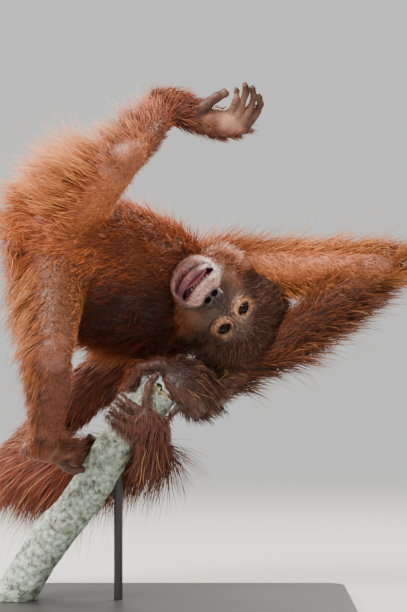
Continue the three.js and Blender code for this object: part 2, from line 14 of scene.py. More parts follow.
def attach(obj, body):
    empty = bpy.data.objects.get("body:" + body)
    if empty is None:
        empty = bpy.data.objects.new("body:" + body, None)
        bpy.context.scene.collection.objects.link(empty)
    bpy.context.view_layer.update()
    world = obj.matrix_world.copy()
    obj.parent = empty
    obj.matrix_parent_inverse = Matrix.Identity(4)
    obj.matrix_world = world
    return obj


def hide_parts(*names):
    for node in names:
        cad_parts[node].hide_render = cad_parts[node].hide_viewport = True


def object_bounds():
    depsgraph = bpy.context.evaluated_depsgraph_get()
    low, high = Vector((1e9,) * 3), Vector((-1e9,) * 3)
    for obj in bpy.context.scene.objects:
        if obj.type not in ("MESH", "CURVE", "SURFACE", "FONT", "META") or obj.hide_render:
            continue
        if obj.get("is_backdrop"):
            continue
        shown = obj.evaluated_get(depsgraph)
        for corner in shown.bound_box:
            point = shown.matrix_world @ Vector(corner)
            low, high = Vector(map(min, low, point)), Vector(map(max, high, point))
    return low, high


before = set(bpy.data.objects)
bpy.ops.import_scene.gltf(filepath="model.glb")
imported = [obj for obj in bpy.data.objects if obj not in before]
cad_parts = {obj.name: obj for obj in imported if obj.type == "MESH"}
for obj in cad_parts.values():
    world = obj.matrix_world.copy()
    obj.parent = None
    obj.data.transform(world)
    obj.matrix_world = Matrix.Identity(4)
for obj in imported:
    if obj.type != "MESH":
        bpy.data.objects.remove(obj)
cad_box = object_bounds()

MM = 0.001
rng = np.random.default_rng(7)

# Lengths of the bones, the branch and the eyes
HUMERUS, FOREARM, FEMUR, TIBIA = 245, 243, 142, 138
BRANCH_RADIUS = 28
BASE_THICKNESS = 14
EYE_RADIUS = 10.5
EYE_SIDE = 19

# The camera of the photograph: level, straight ahead, and this far off the branch
CAMERA_DISTANCE = 3.0
CAMERA_HEIGHT = 0.410
FRAME_HEIGHT = 0.8262
SENSOR = 36.0


def V(*numbers):
    return np.array(numbers, dtype=float)


def unit(vector):
    return vector / np.maximum(np.linalg.norm(vector, axis=-1, keepdims=True), 1e-9)


def norm(vectors):
    return np.linalg.norm(vectors, axis=-1)


def dot(a, b):
    """Products of vectors, row by row."""
    return np.einsum("...i,...i->...", a, b)


def reach(start, length, *way):
    return start + length * unit(V(*way))


def mix(a, b, share):
    return a + (b - a) * share


# Joints of the skeleton
pelvis = V(-189, -50, 490)
belly = V(-122, 20, 448)
chest = V(-56, 85, 425)
collar = V(-19, 118, 420)
right_hip = V(-184, -60, 532)
left_hip = V(-202, -60, 452)
right_shoulder = V(26, 118, 462)
left_shoulder = V(-100, 118, 352)
right_knee = reach(right_hip, FEMUR, 0.58, -0.65, 0.49)
right_ankle = reach(right_knee, TIBIA, 0.39, 0.76, 0.52)
left_knee = reach(left_hip, FEMUR, 0.05, -0.68, -0.73)
left_ankle = reach(left_knee, TIBIA, -0.08, 0.64, -0.76)
right_elbow = reach(right_shoulder, HUMERUS, 0.84, -0.54, 0.0)
right_wrist = reach(right_elbow, FOREARM, -0.755, 0.29, -0.588)
left_elbow = reach(left_shoulder, HUMERUS, -0.71, 0.15, -0.69)
left_wrist = reach(left_elbow, FOREARM, 0.86, -0.5, 0.1)

# The head's own axes: right, up to the crown, and forward to the nose
EYES = V(40, 6, 394)
HEAD_TILT = 0.2
head_right = V(0.69, 0, 0.725)
head_up = unit(V(0.725, 0, -0.69) * math.cos(HEAD_TILT) + V(0, math.sin(HEAD_TILT), 0))
head_front = np.cross(head_up, head_right)
HEAD_AXES = np.array([head_right, head_up, head_front])


def in_head(right, up, front):
    """World place of a place in the head, measured from between the eyes."""
    return EYES + V(right, up, front) @ HEAD_AXES


def to_head(points):
    """Right, up and front of world points."""
    return (points - EYES) @ HEAD_AXES.T


# The branch
branch_foot = V(-262, 0, BASE_THICKNESS + 0.3)
branch_end = V(-57, 0, 303)
branch_line = unit(branch_end - branch_foot)
branch_side = V(branch_line[2], 0, -branch_line[0])


def grip(below, turn, off):
    """So far below the broken end, turned round the branch from the front, off its axis."""
    around = V(0, -1, 0) * math.cos(turn) + branch_side * math.sin(turn)
    return branch_end - branch_line * below + around * off


def over_end(below, side, depth):
    return branch_end - branch_line * below + branch_side * side + V(0, depth, 0)


FAR = 300.0


class Loft:
    """Oval sections along a smooth line. A station is (centre, half width, half depth)."""

    def __init__(self, stations, wide, samples=12):
        full = [(s[0], s[1], s[2] if len(s) > 2 else s[1]) for s in stations]
        rows = np.array([[*centre, width, depth] for centre, width, depth in full])
        self.rows = self.smooth(rows, samples)
        self.wide = unit(V(*wide))

    @staticmethod
    def smooth(rows, samples):
        """Catmull-Rom rows between the given ones."""
        padded = np.vstack([2 * rows[0] - rows[1], rows, 2 * rows[-1] - rows[-2]])
        out = []
        for t in np.linspace(0, len(rows) - 1, samples):
            i = min(int(t), len(rows) - 2)
            u = t - i
            a, b, c, d = padded[i:i + 4]
            out.append(0.5 * (2 * b + (c - a) * u + (2 * a - 5 * b + 4 * c - d) * u ** 2
                              + (3 * b - a - 3 * c + d) * u ** 3))
        return np.array(out)

    def box(self, margin):
        size = self.rows[:, 3:].max(axis=1)[:, None] + margin
        return (self.rows[:, :3] - size).min(axis=0), (self.rows[:, :3] + size).max(axis=0)

    def near(self, points, margin):
        """Distance and share for the points in the box, and far away for the others."""
        low, high = self.box(margin)
        inside = np.all((points > low) & (points < high), axis=1)
        distance, along = np.full(len(points), FAR), np.zeros(len(points))
        distance[inside], along[inside] = self.distance(points[inside])
        return distance, along

    def distance(self, points):
        """Signed distance, near the surface, and the share along the line."""
        best = np.full(len(points), 1e3)
        along = np.zeros(len(points))
        last = len(self.rows) - 1
        for i in range(last):
            start, end = self.rows[i], self.rows[i + 1]
            bone = end[:3] - start[:3]
            t = np.clip((points - start[:3]) @ bone / (bone @ bone), 0, 1)
            offset = points - start[:3] - t[:, None] * bone
            tangent = unit(bone)
            across = unit(self.wide - tangent * (self.wide @ tangent))
            deep = np.cross(tangent, across)
            half = start[3:] + t[:, None] * (end[3:] - start[3:])
            w, d, l = offset @ across, offset @ deep, offset @ tangent
            oval = np.sqrt((w / half[:, 0]) ** 2 + (d / half[:, 1]) ** 2 + (l / half.min(axis=1)) ** 2)
            size = np.sqrt(w * w + d * d + l * l)
            found = np.where(oval > 1e-6, size * (1 - 1 / np.maximum(oval, 1e-6)), -half.min(axis=1))
            closer = found < best
            best[closer] = found[closer]
            along[closer] = (i + t[closer]) / last
        return best, along


def soft_min(a, b, k):
    h = np.clip(0.5 + 0.5 * (b - a) / k, 0, 1)
    return b + (a - b) * h - k * h * (1 - h)


def soft_cut(a, b, k):
    """a without b."""
    return -soft_min(-a, b, k)


def oval(points, middle, half):
    """Signed distance to an ellipsoid in the points' own axes."""
    half = V(*half)
    off = points - V(*middle)
    k0 = norm(off / half)
    k1 = np.maximum(norm(off / half ** 2), 1e-9)
    return k0 * (k0 - 1) / k1


# Flesh of the body, inside the coat
hip_line = V(0.3, 0.06, 0.95)
torso = Loft(
    [(V(-222, -82, 510), 24, 20), (pelvis, 58, 48), (belly, 92, 75), (chest, 83, 66),
     (collar, 54, 47), (V(6, 134, 416), 24, 22)], hip_line, 16)
neck = Loft(
    [(mix(collar, chest, 0.4), 38), (collar, 40), (in_head(0, -34, -70), 37), (in_head(0, -20, -45), 32)],
    hip_line, 8)


def limb(start, end, before, along, after, wide):
    """A loft from joint to joint, with caps (radius, reach, way) and places (share, radius, sag)."""
    stations = [(reach(start, *before[1:]), before[0])]
    stations += [(mix(start, end, share) + V(*(sag or (0, 0, 0))), radius) for share, radius, *sag in along]
    return Loft([*stations, (reach(end, *after[1:]), after[0])], wide)


UPPER_ARM = [(0.25, 30), (0.6, 26), (1, 23)]
right_upper_arm = limb(right_shoulder, right_elbow, (31, 16, -0.84, 0.54, 0), UPPER_ARM,
                       (14, 8, 0.84, -0.54, 0), (0, 0, 1))
right_forearm = limb(right_elbow, right_wrist, (20, 8, 0.8, -0.3, 0.4),
                     [(0.25, 25, 2, 4, -6), (0.6, 24, 4, 8, -6), (1, 23, 0, 0, 7)],
                     (20, 6, -0.755, 0.29, -0.588), (0, 1, 0))
left_upper_arm = limb(left_shoulder, left_elbow, (31, 16, 0.71, -0.15, 0.69), UPPER_ARM,
                      (14, 8, -0.8, 0.2, -0.5), (0, 1, 0))
left_forearm = limb(left_elbow, left_wrist, (20, 8, -0.9, 0.3, -0.2),
                    [(0.25, 26, 0, 0, -5), (0.6, 22, 0, 2, -4), (1, 15)], (15, 8, 0.86, -0.5, 0.1), (0, 1, 0))
right_thigh = limb(right_hip, right_knee, (28, 44, -0.8, 0.2, -0.5), [(0, 43), (0.5, 36), (1, 25)],
                   (17, 7, 0.45, -0.8, 0.3), (0, 0, 1))
right_shank = limb(right_knee, right_ankle, (19, 8, -0.2, -0.9, -0.2), [(0.25, 25), (0.6, 21), (1, 16)],
                   (14, 8, 0.3, 0.76, 0.4), (1, 0, 0))
left_thigh = limb(left_hip, left_knee, (25, 40, -0.5, 0.2, 0.8), [(0, 42), (0.5, 35), (1, 24)],
                  (17, 7, 0, -0.9, -0.3), (1, 0, 0))
left_shank = limb(left_knee, left_ankle, (19, 8, 0, -0.8, 0.4), [(0.25, 25, 0, 3, 0), (0.6, 21), (1, 17)],
                  (15, 10, -0.1, 0.5, -0.8), (1, 0, 0))

FINGER, HOLDING_FINGER, TOE, BIG_TOE = 6.1, 9.2, 5.6, 8.0


def digit(*places, radius=FINGER):
    """A finger or toe that tapers to its tip, with pads between its joints."""
    last = len(places) - 1
    stations = []
    for i, place in enumerate(places):
        stations.append((place, radius * (1.12 - 0.3 * i / last)))
        if 0 < i < last:
            stations.append((mix(place, places[i + 1], 0.5), radius * (0.94 - 0.3 * i / last)))
    return Loft(stations, (0.3, 0.9, 0.2), 13)


right_hand = [
    Loft([(reach(right_wrist, 3, 0.755, -0.29, 0.588), 15, 13), (over_end(-20, 62, 44), 25, 19),
          (over_end(-18, 46, 20), 35, 20), (over_end(-23, 26, 6), 34, 17), (over_end(-27, 6, 6), 27, 13)],
         branch_line * 0.8 + V(0, 0.6, 0), 10),
    *[digit(over_end(-23, 12, depth * 0.8 + 3), over_end(-22, -16, depth),
            over_end(-2 + 2 * n, -37, depth * 1.05), over_end(22 + 2 * n, -33, depth * 0.9 + 4),
            radius=HOLDING_FINGER)
      for n, depth in enumerate((-4, 11, 26, 39))],
    digit(over_end(-12, 40, 14), grip(4, 1.35, 40), grip(22, 1.15, 37)),
]
left_hand = [
    Loft([(reach(left_wrist, 4, -0.86, 0.5, -0.1), 15, 13), (grip(80, 1.75, 50), 18, 13),
          (grip(70, 1.15, 43), 23, 11.5), (grip(60, 0.55, 41), 26, 10.5),
          (grip(54, 0.05, 38), 23, 8)], branch_line, 10),
    digit(grip(42, 0.2, 37), grip(26, -0.15, 36), grip(10, -0.4, 35), grip(-6, -0.5, 27)),
    *[digit(grip(below, 0.2, 38), grip(below, -0.55, 37), grip(below, -1.25, 36),
            grip(below, -1.9, 36)) for below in (44, 59, 73)],
    digit(grip(72, 1.5, 46), grip(50, 1.25, 41), grip(32, 1.05, 37)),
]
right_foot = [
    Loft([(V(-62, -46, 684), 12, 12), (V(-46, -46, 676), 19, 17), (V(-22, -46, 667), 20, 17),
          (V(8, -42, 656), 20, 14), (V(34, -38, 652), 19, 11), (V(56, -32, 656), 17, 8)],
         (0.3, -0.35, 0.9), 12),
    *[digit(*(V(*place) for place in places), radius=radius) for radius, *places in (
        (TOE, (32, -38, 656), (38, -46, 672), (43, -54, 685), (44, -54, 696)),
        (TOE, (42, -38, 655), (50, -46, 676), (56, -56, 692), (55, -60, 702)),
        (TOE, (52, -36, 655), (62, -42, 674), (67, -52, 688), (65, -58, 698)),
        (TOE, (60, -32, 654), (71, -36, 668), (76, -44, 679), (74, -50, 688)),
        (BIG_TOE, (-14, -52, 664), (4, -58, 677), (17, -60, 686), (28, -58, 692)))],
]
left_foot = [
    Loft([(V(-228, -56, 220), 13, 13), (V(-212, -52, 222), 19, 16), (V(-192, -34, 216), 18, 14),
          (V(-174, -8, 211), 18, 12), (V(-164, 14, 210), 19, 10), (V(-158, 26, 210), 15, 7.5)],
         (0.1, -0.1, 1), 12),
    *[digit(grip(below, -1.85, 40), grip(below, -2.5, 37), grip(below, -3.1, 36.5),
            grip(below - 3, -3.7, 36)) for below in (116, 129, 142, 154)],
    digit(V(-196, -34, 208), V(-184, -40, 196), V(-172, -40, 190), V(-162, -34, 192)),
]

# Flesh forms with how softly each runs into what is there
HANDS, FEET = (right_hand, left_hand), (right_foot, left_foot)
DIGIT_SOFT = 1.2
body_forms = [
    (torso, 1), (neck, 18), (right_upper_arm, 16), (left_upper_arm, 16), (right_thigh, 20), (left_thigh, 20),
    (right_forearm, 8), (left_forearm, 8), (right_shank, 8), (left_shank, 8),
    *[(forms[0], 7) for forms in HANDS + FEET],
    *[(form, DIGIT_SOFT) for forms in HANDS + FEET for form in forms[1:]],
]


SPARSE = 3
# A distance that is given to what no form is near to
OPEN = 50.0


def filled_in(values, axis, size):
    """Values at every place along an axis, from sparse ones."""
    place = np.arange(size) / SPARSE
    first = place.astype(int)
    share = (place - first).reshape([-1 if i == axis else 1 for i in range(3)])
    return np.take(values, first, axis) * (1 - share) + np.take(values, first + 1, axis) * share


class Grid:
    """A box of signed distances, in millimetres, that forms are added to and cut from."""

    def __init__(self, low, high, step):
        self.low, self.step = low, step
        self.shape = tuple(np.ceil((high - low) / step).astype(int) + 1)
        self.field = np.full(self.shape, OPEN, dtype=np.float32)

    def blend(self, box, distance, k, how=soft_min):
        """Works a form in. Its distances are found sparsely, and in full near its surface."""
        first = np.maximum(0, ((box[0] - self.low) / self.step).astype(int))
        last = np.minimum(self.shape, ((box[1] - self.low) / self.step).astype(int) + 2)
        part = tuple(slice(*span) for span in zip(first, last))
        old = self.field[part]
        axes = [self.low[i] + self.step * np.arange(first[i], last[i] + SPARSE, SPARSE) for i in range(3)]
        places = np.stack(np.meshgrid(*axes, indexing="ij"), axis=-1).reshape(-1, 3)
        found = distance(places).reshape([len(axis) for axis in axes])
        for axis in range(3):
            found = filled_in(found, axis, old.shape[axis])
        near = np.abs(found) < 1.7 * SPARSE * self.step
        found[near] = distance(self.low + self.step * (np.argwhere(near) + first))
        self.field[part] = how(old, found, k)

    def at(self, points):
        """The field at world points, by its eight neighbours."""
        place = np.clip((points - self.low) / self.step, 0, np.array(self.shape) - 1.001)
        base = place.astype(int)
        part = place - base
        total = np.zeros(len(points))
        for corner in np.ndindex(2, 2, 2):
            weight = np.prod(np.where(corner, part, 1 - part), axis=1)
            total += weight * self.field[tuple((base + corner).T)]
        return total

    def slope(self, points):
        """Unit direction out of the solid."""
        step = self.step
        sides = [self.at(points + step * axis) - self.at(points - step * axis) for axis in np.eye(3)]
        return unit(np.stack(sides, axis=1))

    def mesh(self):
        """Vertices and quads of the surface, turned out."""
        grid = openvdb.FloatGrid(OPEN)
        grid.copyFromArray(np.ascontiguousarray(self.field))
        points, quads = grid.convertToQuads(isovalue=0.0)
        points = points.astype(float) * self.step + self.low
        if signed_volume(points, quads) < 0:
            quads = quads[:, ::-1]
        return points, quads


def signed_volume(points, faces):
    a, b, c, d = (points[faces[:, i]] for i in range(4))
    return np.sum(dot(a, np.cross(b, c)) + dot(a, np.cross(c, d)))


def add_object(name, data):
    piece = bpy.data.objects.new(name, data)
    bpy.context.scene.collection.objects.link(piece)
    return piece


def make_mesh(name, points, faces, material, smooth=True):
    """An object from millimetre points and faces of one size."""
    sides = faces.shape[1]
    mesh = bpy.data.meshes.new(name)
    mesh.vertices.add(len(points))
    mesh.vertices.foreach_set("co", (points * MM).astype(np.float32).ravel())
    mesh.loops.add(faces.size)
    mesh.loops.foreach_set("vertex_index", faces.astype(np.int32).ravel())
    mesh.polygons.add(len(faces))
    mesh.polygons.foreach_set("loop_start", np.arange(0, faces.size, sides, dtype=np.int32))
    mesh.polygons.foreach_set("use_smooth", np.full(len(faces), smooth))
    mesh.update(calc_edges=True)
    mesh.validate()
    mesh.materials.append(material)
    return add_object(name, mesh)


# Head: ovals by middle and half sizes, in its own axes
HEAD_FLESH = [
    ((0, 18, -48), (57, 57, 61), 1), ((0, -20, -24), (43, 52, 33), 12), ((0, -64, -4), (36, 31, 43), 14),
    ((0, -83, -9), (32, 20, 32), 10), ((0, 14, -10), (39, 10, 18), 10),
    ((30, -44, -32), (24, 34, 28), 14), ((-30, -44, -32), (24, 34, 28), 14),
]
MOUTH_HALF = 29
MOUTH = (0, -76, 30)


def mouth_up(right):
    return -79 + 10 * (right / MOUTH_HALF) ** 2


def mouth_front(right):
    s2 = (right / MOUTH_HALF) ** 2
    return 42 - 27 * s2 * (0.55 + 0.45 * s2)


def lip(points, up, half, deep):
    """Distance to a lip that follows the mouth's line."""
    right = np.clip(points[:, 0], -MOUTH_HALF, MOUTH_HALF)
    share = np.sqrt(np.maximum(0.12, 1 - (right / MOUTH_HALF) ** 2 * 0.85))
    off = np.stack([points[:, 0] - right, points[:, 1] - mouth_up(right) - up,
                    points[:, 2] - mouth_front(right) + 1], axis=1)
    off[:, 1] /= half * share
    off[:, 2] /= deep * share
    off[:, 0] /= half * share
    return (norm(off) - 1) * half * share


def mouth_gap(points):
    """The open mouth: a slit that is widest in the middle and goes a way in."""
    right = points[:, 0]
    inside = np.maximum(0, 1 - (right / (MOUTH_HALF - 1)) ** 2)
    opening = 0.6 + 5.0 * np.sqrt(inside)
    across = np.abs(points[:, 1] - mouth_up(right) + 0.8) - opening
    deep = mouth_front(np.clip(right, -MOUTH_HALF, MOUTH_HALF)) - 15 - points[:, 2]
    return np.maximum(np.maximum(across, deep), np.abs(right) - MOUTH_HALF + 1)


def eye_opening(points, side):
    """The almond between the lids, in front of the eyeball."""
    right = (points[:, 0] - side * EYE_SIDE) * side
    up = points[:, 1] + 0.14 * right
    half = 5.9 * (1 - (right / 10.2) ** 2)
    return np.maximum(np.abs(up) - half, 2 - points[:, 2])


def build_head(grid):
    def put(form, middle, size, k, how=soft_min):
        centre, size = in_head(*middle), size + 1.5 * k + 6
        grid.blend((centre - size, centre + size), lambda points: form(to_head(points)), k, how)

    def put_oval(middle, half, k, how=soft_min):
        put(lambda points: oval(points, middle, half), middle, max(half), k, how)

    for middle, half, k in HEAD_FLESH:
        put_oval(middle, half, k)
    for side in (-1, 1):
        x = side * EYE_SIDE
        put_oval((x * 1.05, -1, 12), (14, 11, 10), 7, soft_cut)
        put_oval((x, 0, 0), (EYE_RADIUS + 2.2, EYE_RADIUS + 1.6, EYE_RADIUS + 1.8), 5)
        put_oval((x, 12, 3), (15, 4, 7), 6)
        put_oval((x * 1.1, -13, 2), (14, 3.2, 7), 5)
        put_oval((side * 8, -43, 31), (8, 7, 9), 4)
        put_oval((side * 58, -8, -52), (5, 17, 11), 3)
        put_oval((side * 63, -7, -50), (6, 12, 7), 2, soft_cut)
    put_oval((0, -36, 26), (6, 14, 7), 6)
    put(lambda points: lip(points, 8, 5.2, 6), MOUTH, 42, 5)
    put(lambda points: lip(points, -9.5, 5.8, 7), MOUTH, 42, 5)
    put(mouth_gap, MOUTH, 42, 1.2, soft_cut)
    for side in (-1, 1):
        x = side * EYE_SIDE
        put_oval((x, 0, 0), (EYE_RADIUS + 0.2,) * 3, 0.3, soft_cut)
        put(lambda points: eye_opening(points, side), (x, 0, 10), 16, 0.8, soft_cut)
        put_oval((side * 6.6, -49, 38), (5.0, 3.2, 10), 1.2, soft_cut)


def bounds_of(forms, margin):
    boxes = [form.box(margin) for form in forms]
    return np.min([b[0] for b in boxes], axis=0), np.max([b[1] for b in boxes], axis=0)


BODY_STEP = 1.8
HEAD_STEP = 1.1
body_grid = Grid(*bounds_of([form for form, k in body_forms], 30), BODY_STEP)
for form, k in body_forms:
    body_grid.blend(form.box(25), lambda points, form=form: form.distance(points)[0], k)
head_low = EYES + np.array([-145, -75, -105])
head_high = EYES + np.array([110, 135, 120])
head_grid = Grid(head_low, head_high, HEAD_STEP)
build_head(head_grid)


def noise(points, size, seed, octaves=3):
    """Smooth noise from -1 to 1, as sums of waves in random directions."""
    draw = np.random.default_rng(seed)
    total = np.zeros(len(points))
    weight = 0.0
    for octave in range(octaves):
        strength = 0.55 ** octave
        for _ in range(5):
            way = unit(draw.normal(size=3)) * 2 * math.pi / (size * 0.5 ** octave)
            total += strength * np.sin(points @ way + draw.uniform(0, 6.3))
        weight += strength * 5 ** 0.5
    return np.clip(total / weight, -1, 1)


def ramp(value, low, high):
    """0 below low and 1 above high, with soft ends."""
    t = np.clip((value - low) / (high - low), 0, 1)
    return t * t * (3 - 2 * t)


def dye(a, b, share):
    """Colour a turned towards b by each point's share."""
    return a + (b - a) * share[:, None]


def layered(base, count, layers):
    """A base colour under layers of (colour, share)."""
    color = np.tile(base, (count, 1))
    for paint, share in layers:
        color = dye(color, paint, share)
    return color


# Materials
def new_material(name, roughness, specular=0.5):
    material = bpy.data.materials.new(name)
    material.use_nodes = True
    shader = material.node_tree.nodes["Principled BSDF"]
    shader.inputs["Roughness"].default_value = roughness
    shader.inputs["Specular IOR Level"].default_value = specular
    return material, material.node_tree, shader


def add_node(tree, kind, **settings):
    """A node with its inputs and options set by name."""
    node = tree.nodes.new(kind)
    for key, value in settings.items():
        if key in node.inputs:
            node.inputs[key].default_value = value
        else:
            setattr(node, key, value)
    return node


def wire(source, output, target, socket):
    source.id_data.links.new(source.outputs[output], target.inputs[socket])


def painted_color(tree, shader, scale, strength):
    """The vertex colour with a fine speckle over it. Gives the node of the place."""
    paint = add_node(tree, "ShaderNodeAttribute", attribute_name="paint")
    place = add_node(tree, "ShaderNodeTexCoord")
    speckle = add_node(tree, "ShaderNodeTexNoise", Scale=scale, Detail=3.0)
    fade = add_node(tree, "ShaderNodeMapRange", **{"To Min": 1 - strength, "To Max": 1 + strength})
    times = add_node(tree, "ShaderNodeVectorMath", operation="SCALE")
    wire(place, "Object", speckle, "Vector")
    wire(speckle, "Fac", fade, "Value")
    wire(paint, "Color", times, 0)
    wire(fade, "Result", times, "Scale")
    wire(times, "Vector", shader, "Base Color")
    return place


def add_bump(tree, shader, place, layers):
    """Bump from stacked textures: (texture node, its output, strength, distance in metres)."""
    below = None
    for texture, output, strength, distance in layers:
        bump = add_node(tree, "ShaderNodeBump", Strength=strength, Distance=distance)
        wire(place, "Object", texture, "Vector")
        wire(texture, output, bump, "Height")
        if below:
            wire(below, "Normal", bump, "Normal")
        below = bump
    wire(below, "Normal", shader, "Normal")


def skin_material():
    material, tree, shader = new_material("ape_skin", 0.44, 0.45)
    place = painted_color(tree, shader, 420.0, 0.22)
    folds = add_node(tree, "ShaderNodeTexVoronoi", Scale=260.0, feature="DISTANCE_TO_EDGE")
    wrinkles = add_node(tree, "ShaderNodeTexNoise", Scale=150.0, Detail=5.0, Distortion=1.2)
    pores = add_node(tree, "ShaderNodeTexNoise", Scale=900.0, Detail=2.0)
    add_bump(tree, shader, place, [(wrinkles, "Fac", 0.8, 0.0024), (folds, "Distance", 0.6, 0.0012),
                                   (pores, "Fac", 0.5, 0.0006)])
    return material


def hair_material():
    material, tree, shader = new_material("long_hair", 0.5, 0.35)
    painted_color(tree, shader, 700.0, 0.18)
    shader.inputs["Sheen Weight"].default_value = 0.12
    shader.inputs["Sheen Roughness"].default_value = 0.4
    shader.inputs["Sheen Tint"].default_value = (1.0, 0.62, 0.4, 1.0)
    return material


def set_paint(piece, colors):
    """A linear colour for each vertex."""
    layer = piece.data.color_attributes.new("paint", "FLOAT_COLOR", "POINT")
    rgba = np.ones((len(colors), 4), dtype=np.float32)
    rgba[:, :3] = np.clip(colors, 0, 1)
    layer.data.foreach_set("color", rgba.ravel())


def shade(r, g, b):
    """Linear colour from the usual 0 to 255 numbers."""
    return (np.array([r, g, b]) / 255.0) ** 2.2


class Region:
    """Hair of one form. Lie is its direction, and droop is how far its tips turn down.

    Inner is the way its thinly haired side faces, where hair is short by the share `short`.
    """

    def __init__(self, form, lie, length, droop, root, tip, lift=0.35, inner=(0, 0, 0), short=1.0,
                 skin=(150, 88, 60)):
        self.form, self.length, self.droop, self.lift, self.short = form, length, droop, lift, short
        self.lie, self.inner = unit(V(*lie)), unit(V(*inner))
        self.root, self.tip, self.skin = shade(*root), shade(*tip), shade(*skin)


# Coat regions, with their colours
RUST_ROOT, RUST_TIP = (120, 52, 30), (208, 112, 62)
# Hair of the left arm: partly its own darker colour, partly painted shade, as the arm lies under the body
DARK_SHADED_ROOT, DARK_SHADED_TIP = (62, 28, 22), (156, 78, 58)
BLOND_TIP = (226, 140, 80)
PINK_TAN = (196, 114, 74)
# Painted shade of the lower front of the trunk, for hair roots and tips
BELLY_SHADE_ROOT, BELLY_SHADE_TIP = shade(36, 10, 6), shade(106, 36, 18)
# Pale tips of the guard hairs: partly their own colour, partly painted glow of the backlight through them
GUARD_GLOW_TIP = shade(250, 190, 126)
to_tail = unit(pelvis - chest)
FRONT = V(0, -1, 0)
regions = [
    Region(torso, to_tail + V(0, 0, -0.3), 50, 0.3, (138, 60, 33), RUST_TIP, 0.35, FRONT, 0.6),
    Region(neck, (-0.6, 0.2, -0.4), 45, 0.4, RUST_ROOT, RUST_TIP, 0.4),
    Region(right_upper_arm, right_elbow - right_shoulder, 60, 0.2, RUST_ROOT, BLOND_TIP, 0.4,
           FRONT, 0.22, skin=PINK_TAN),
    Region(right_forearm, right_elbow - right_wrist, 66, 0.45, (46, 22, 16), (138, 76, 48), 0.35,
           (0, -1, 0.5), 0.35, skin=(78, 40, 28)),
    # The left arm's darker hair holds painted shade
    Region(left_upper_arm, left_elbow - left_shoulder, 24, 0.3, DARK_SHADED_ROOT, DARK_SHADED_TIP, 0.25),
    Region(left_forearm, (-0.3, 0.1, -0.6), 92, 0.8, DARK_SHADED_ROOT, DARK_SHADED_TIP, 0.3),
    Region(right_thigh, V(-0.75, 0.1, 0.3) + unit(right_knee - right_hip) * 0.2, 72, 0.1, RUST_ROOT,
           BLOND_TIP, 0.38, (0.75, -0.6, -0.3), 0.16, skin=PINK_TAN),
    Region(right_shank, V(-0.45, 0.1, 0.25) + unit(right_ankle - right_knee) * 0.5, 44, 0.15, (84, 36, 24),
           (176, 90, 54), 0.3, (0.5, -0.8, -0.4), 0.2, skin=(108, 56, 42)),
    Region(left_thigh, V(-0.6, 0.1, -0.4) + unit(left_knee - left_hip) * 0.4, 50, 0.3, (104, 50, 30),
           (206, 124, 68), 0.3, (0.7, -0.75, 0.1), 0.14, skin=(98, 58, 36)),
    Region(left_shank, V(-0.5, 0.1, -0.2) + unit(left_ankle - left_knee) * 0.6, 36, 0.3, (78, 38, 26),
           (166, 92, 56), 0.25, (0.7, -0.75, 0), 0.16, skin=(122, 70, 52)),
    Region(right_hand[0], (0.6, 0.1, -0.5), 17, 0.5, (54, 34, 32), (92, 50, 40), 0.5),
    Region(left_hand[0], (-0.2, 0.0, -0.9), 46, 0.6, (50, 26, 22), (118, 64, 52), 0.35),
    Region(right_foot[0], (0.9, 0.0, -0.1), 15, 0.1, (62, 28, 20), (140, 66, 42), 0.25),
    Region(left_foot[0], (0.6, 0.6, 0.0), 14, 0.3, (84, 42, 30), (150, 80, 54), 0.2),
]
REGION_SOFT = 9.0


def region_weights(points):
    """How far each point belongs to each region."""
    distances = np.stack([region.form.near(points, 60)[0] for region in regions], axis=1)
    weights = np.exp(-(distances - distances.min(axis=1, keepdims=True)) / REGION_SOFT)
    return weights / weights.sum(axis=1, keepdims=True)


def belly_painted_shade(points, weights, normals):
    """Painted shade: how far the lower front of the trunk is darkened, as it lies in shadow."""
    return weights[:, 0] * ramp(-points[:, 2], -492, -408) * ramp(normals @ FRONT, -0.3, 0.5)


def facing_inner(weights, normals):
    """How far each place is on the thinly haired side of its region, and the length there."""
    turned = ramp(np.stack([normals @ region.inner for region in regions], axis=1), -0.1, 0.75)
    short = np.array([region.short for region in regions])
    return (weights * turned).sum(axis=1), (weights * (1 - turned * (1 - short))).sum(axis=1)


def blended(weights, name):
    values = np.array([getattr(region, name) for region in regions], dtype=float)
    return weights @ values


# Bare skin and its colours
FACE_TAN, FACE_DARK = shade(212, 162, 152), shade(84, 60, 50)
# Painted shade for the folds along the muzzle's edge and round the eye opening, and the cheeks' own colour
FOLD_SHADE, CHEEK = shade(46, 33, 30), shade(132, 84, 58)
EYE_RING, NOSE_DARK = shade(208, 144, 102), shade(44, 33, 32)
LIP_PINK, MOUTH_RED = shade(100, 56, 68), shade(84, 30, 44)
SORE_PINK, THIN_TAN = shade(184, 96, 84), shade(160, 104, 84)
# The scalp's own colour, and painted shade inside the nostrils
SCALP, NOSTRIL_SHADE = shade(70, 40, 30), shade(16, 11, 10)
PALM_TAN, PALM_DARK = shade(198, 136, 114), shade(108, 60, 42)


def crease_light_and_shade(side, up, front, points):
    """Painted light and shade of wrinkles: light and dark lines round the eyes, over the nose's bridge and
    round the mouth.
    """
    waver = noise(points, 14, 16)
    from_eye = np.hypot(side - EYE_SIDE, up)
    round_eye = np.sin(from_eye * 1.2 + 2.5 * waver) * ramp(-np.abs(from_eye - 17), -9, -3)
    over_bridge = np.sin(up * 1.1 + 3 * waver) * ramp(-side, -12, -5) * ramp(-np.abs(up + 18), -20, -10)
    from_mouth = np.hypot(side * 0.55, up + 78)
    round_mouth = np.sin(from_mouth * 1.0 + 3 * waver) * ramp(-np.abs(from_mouth - 22), -10, -4)
    return (0.5 * round_eye + 0.45 * over_bridge + 0.3 * round_mouth) * ramp(front, -6, 6)


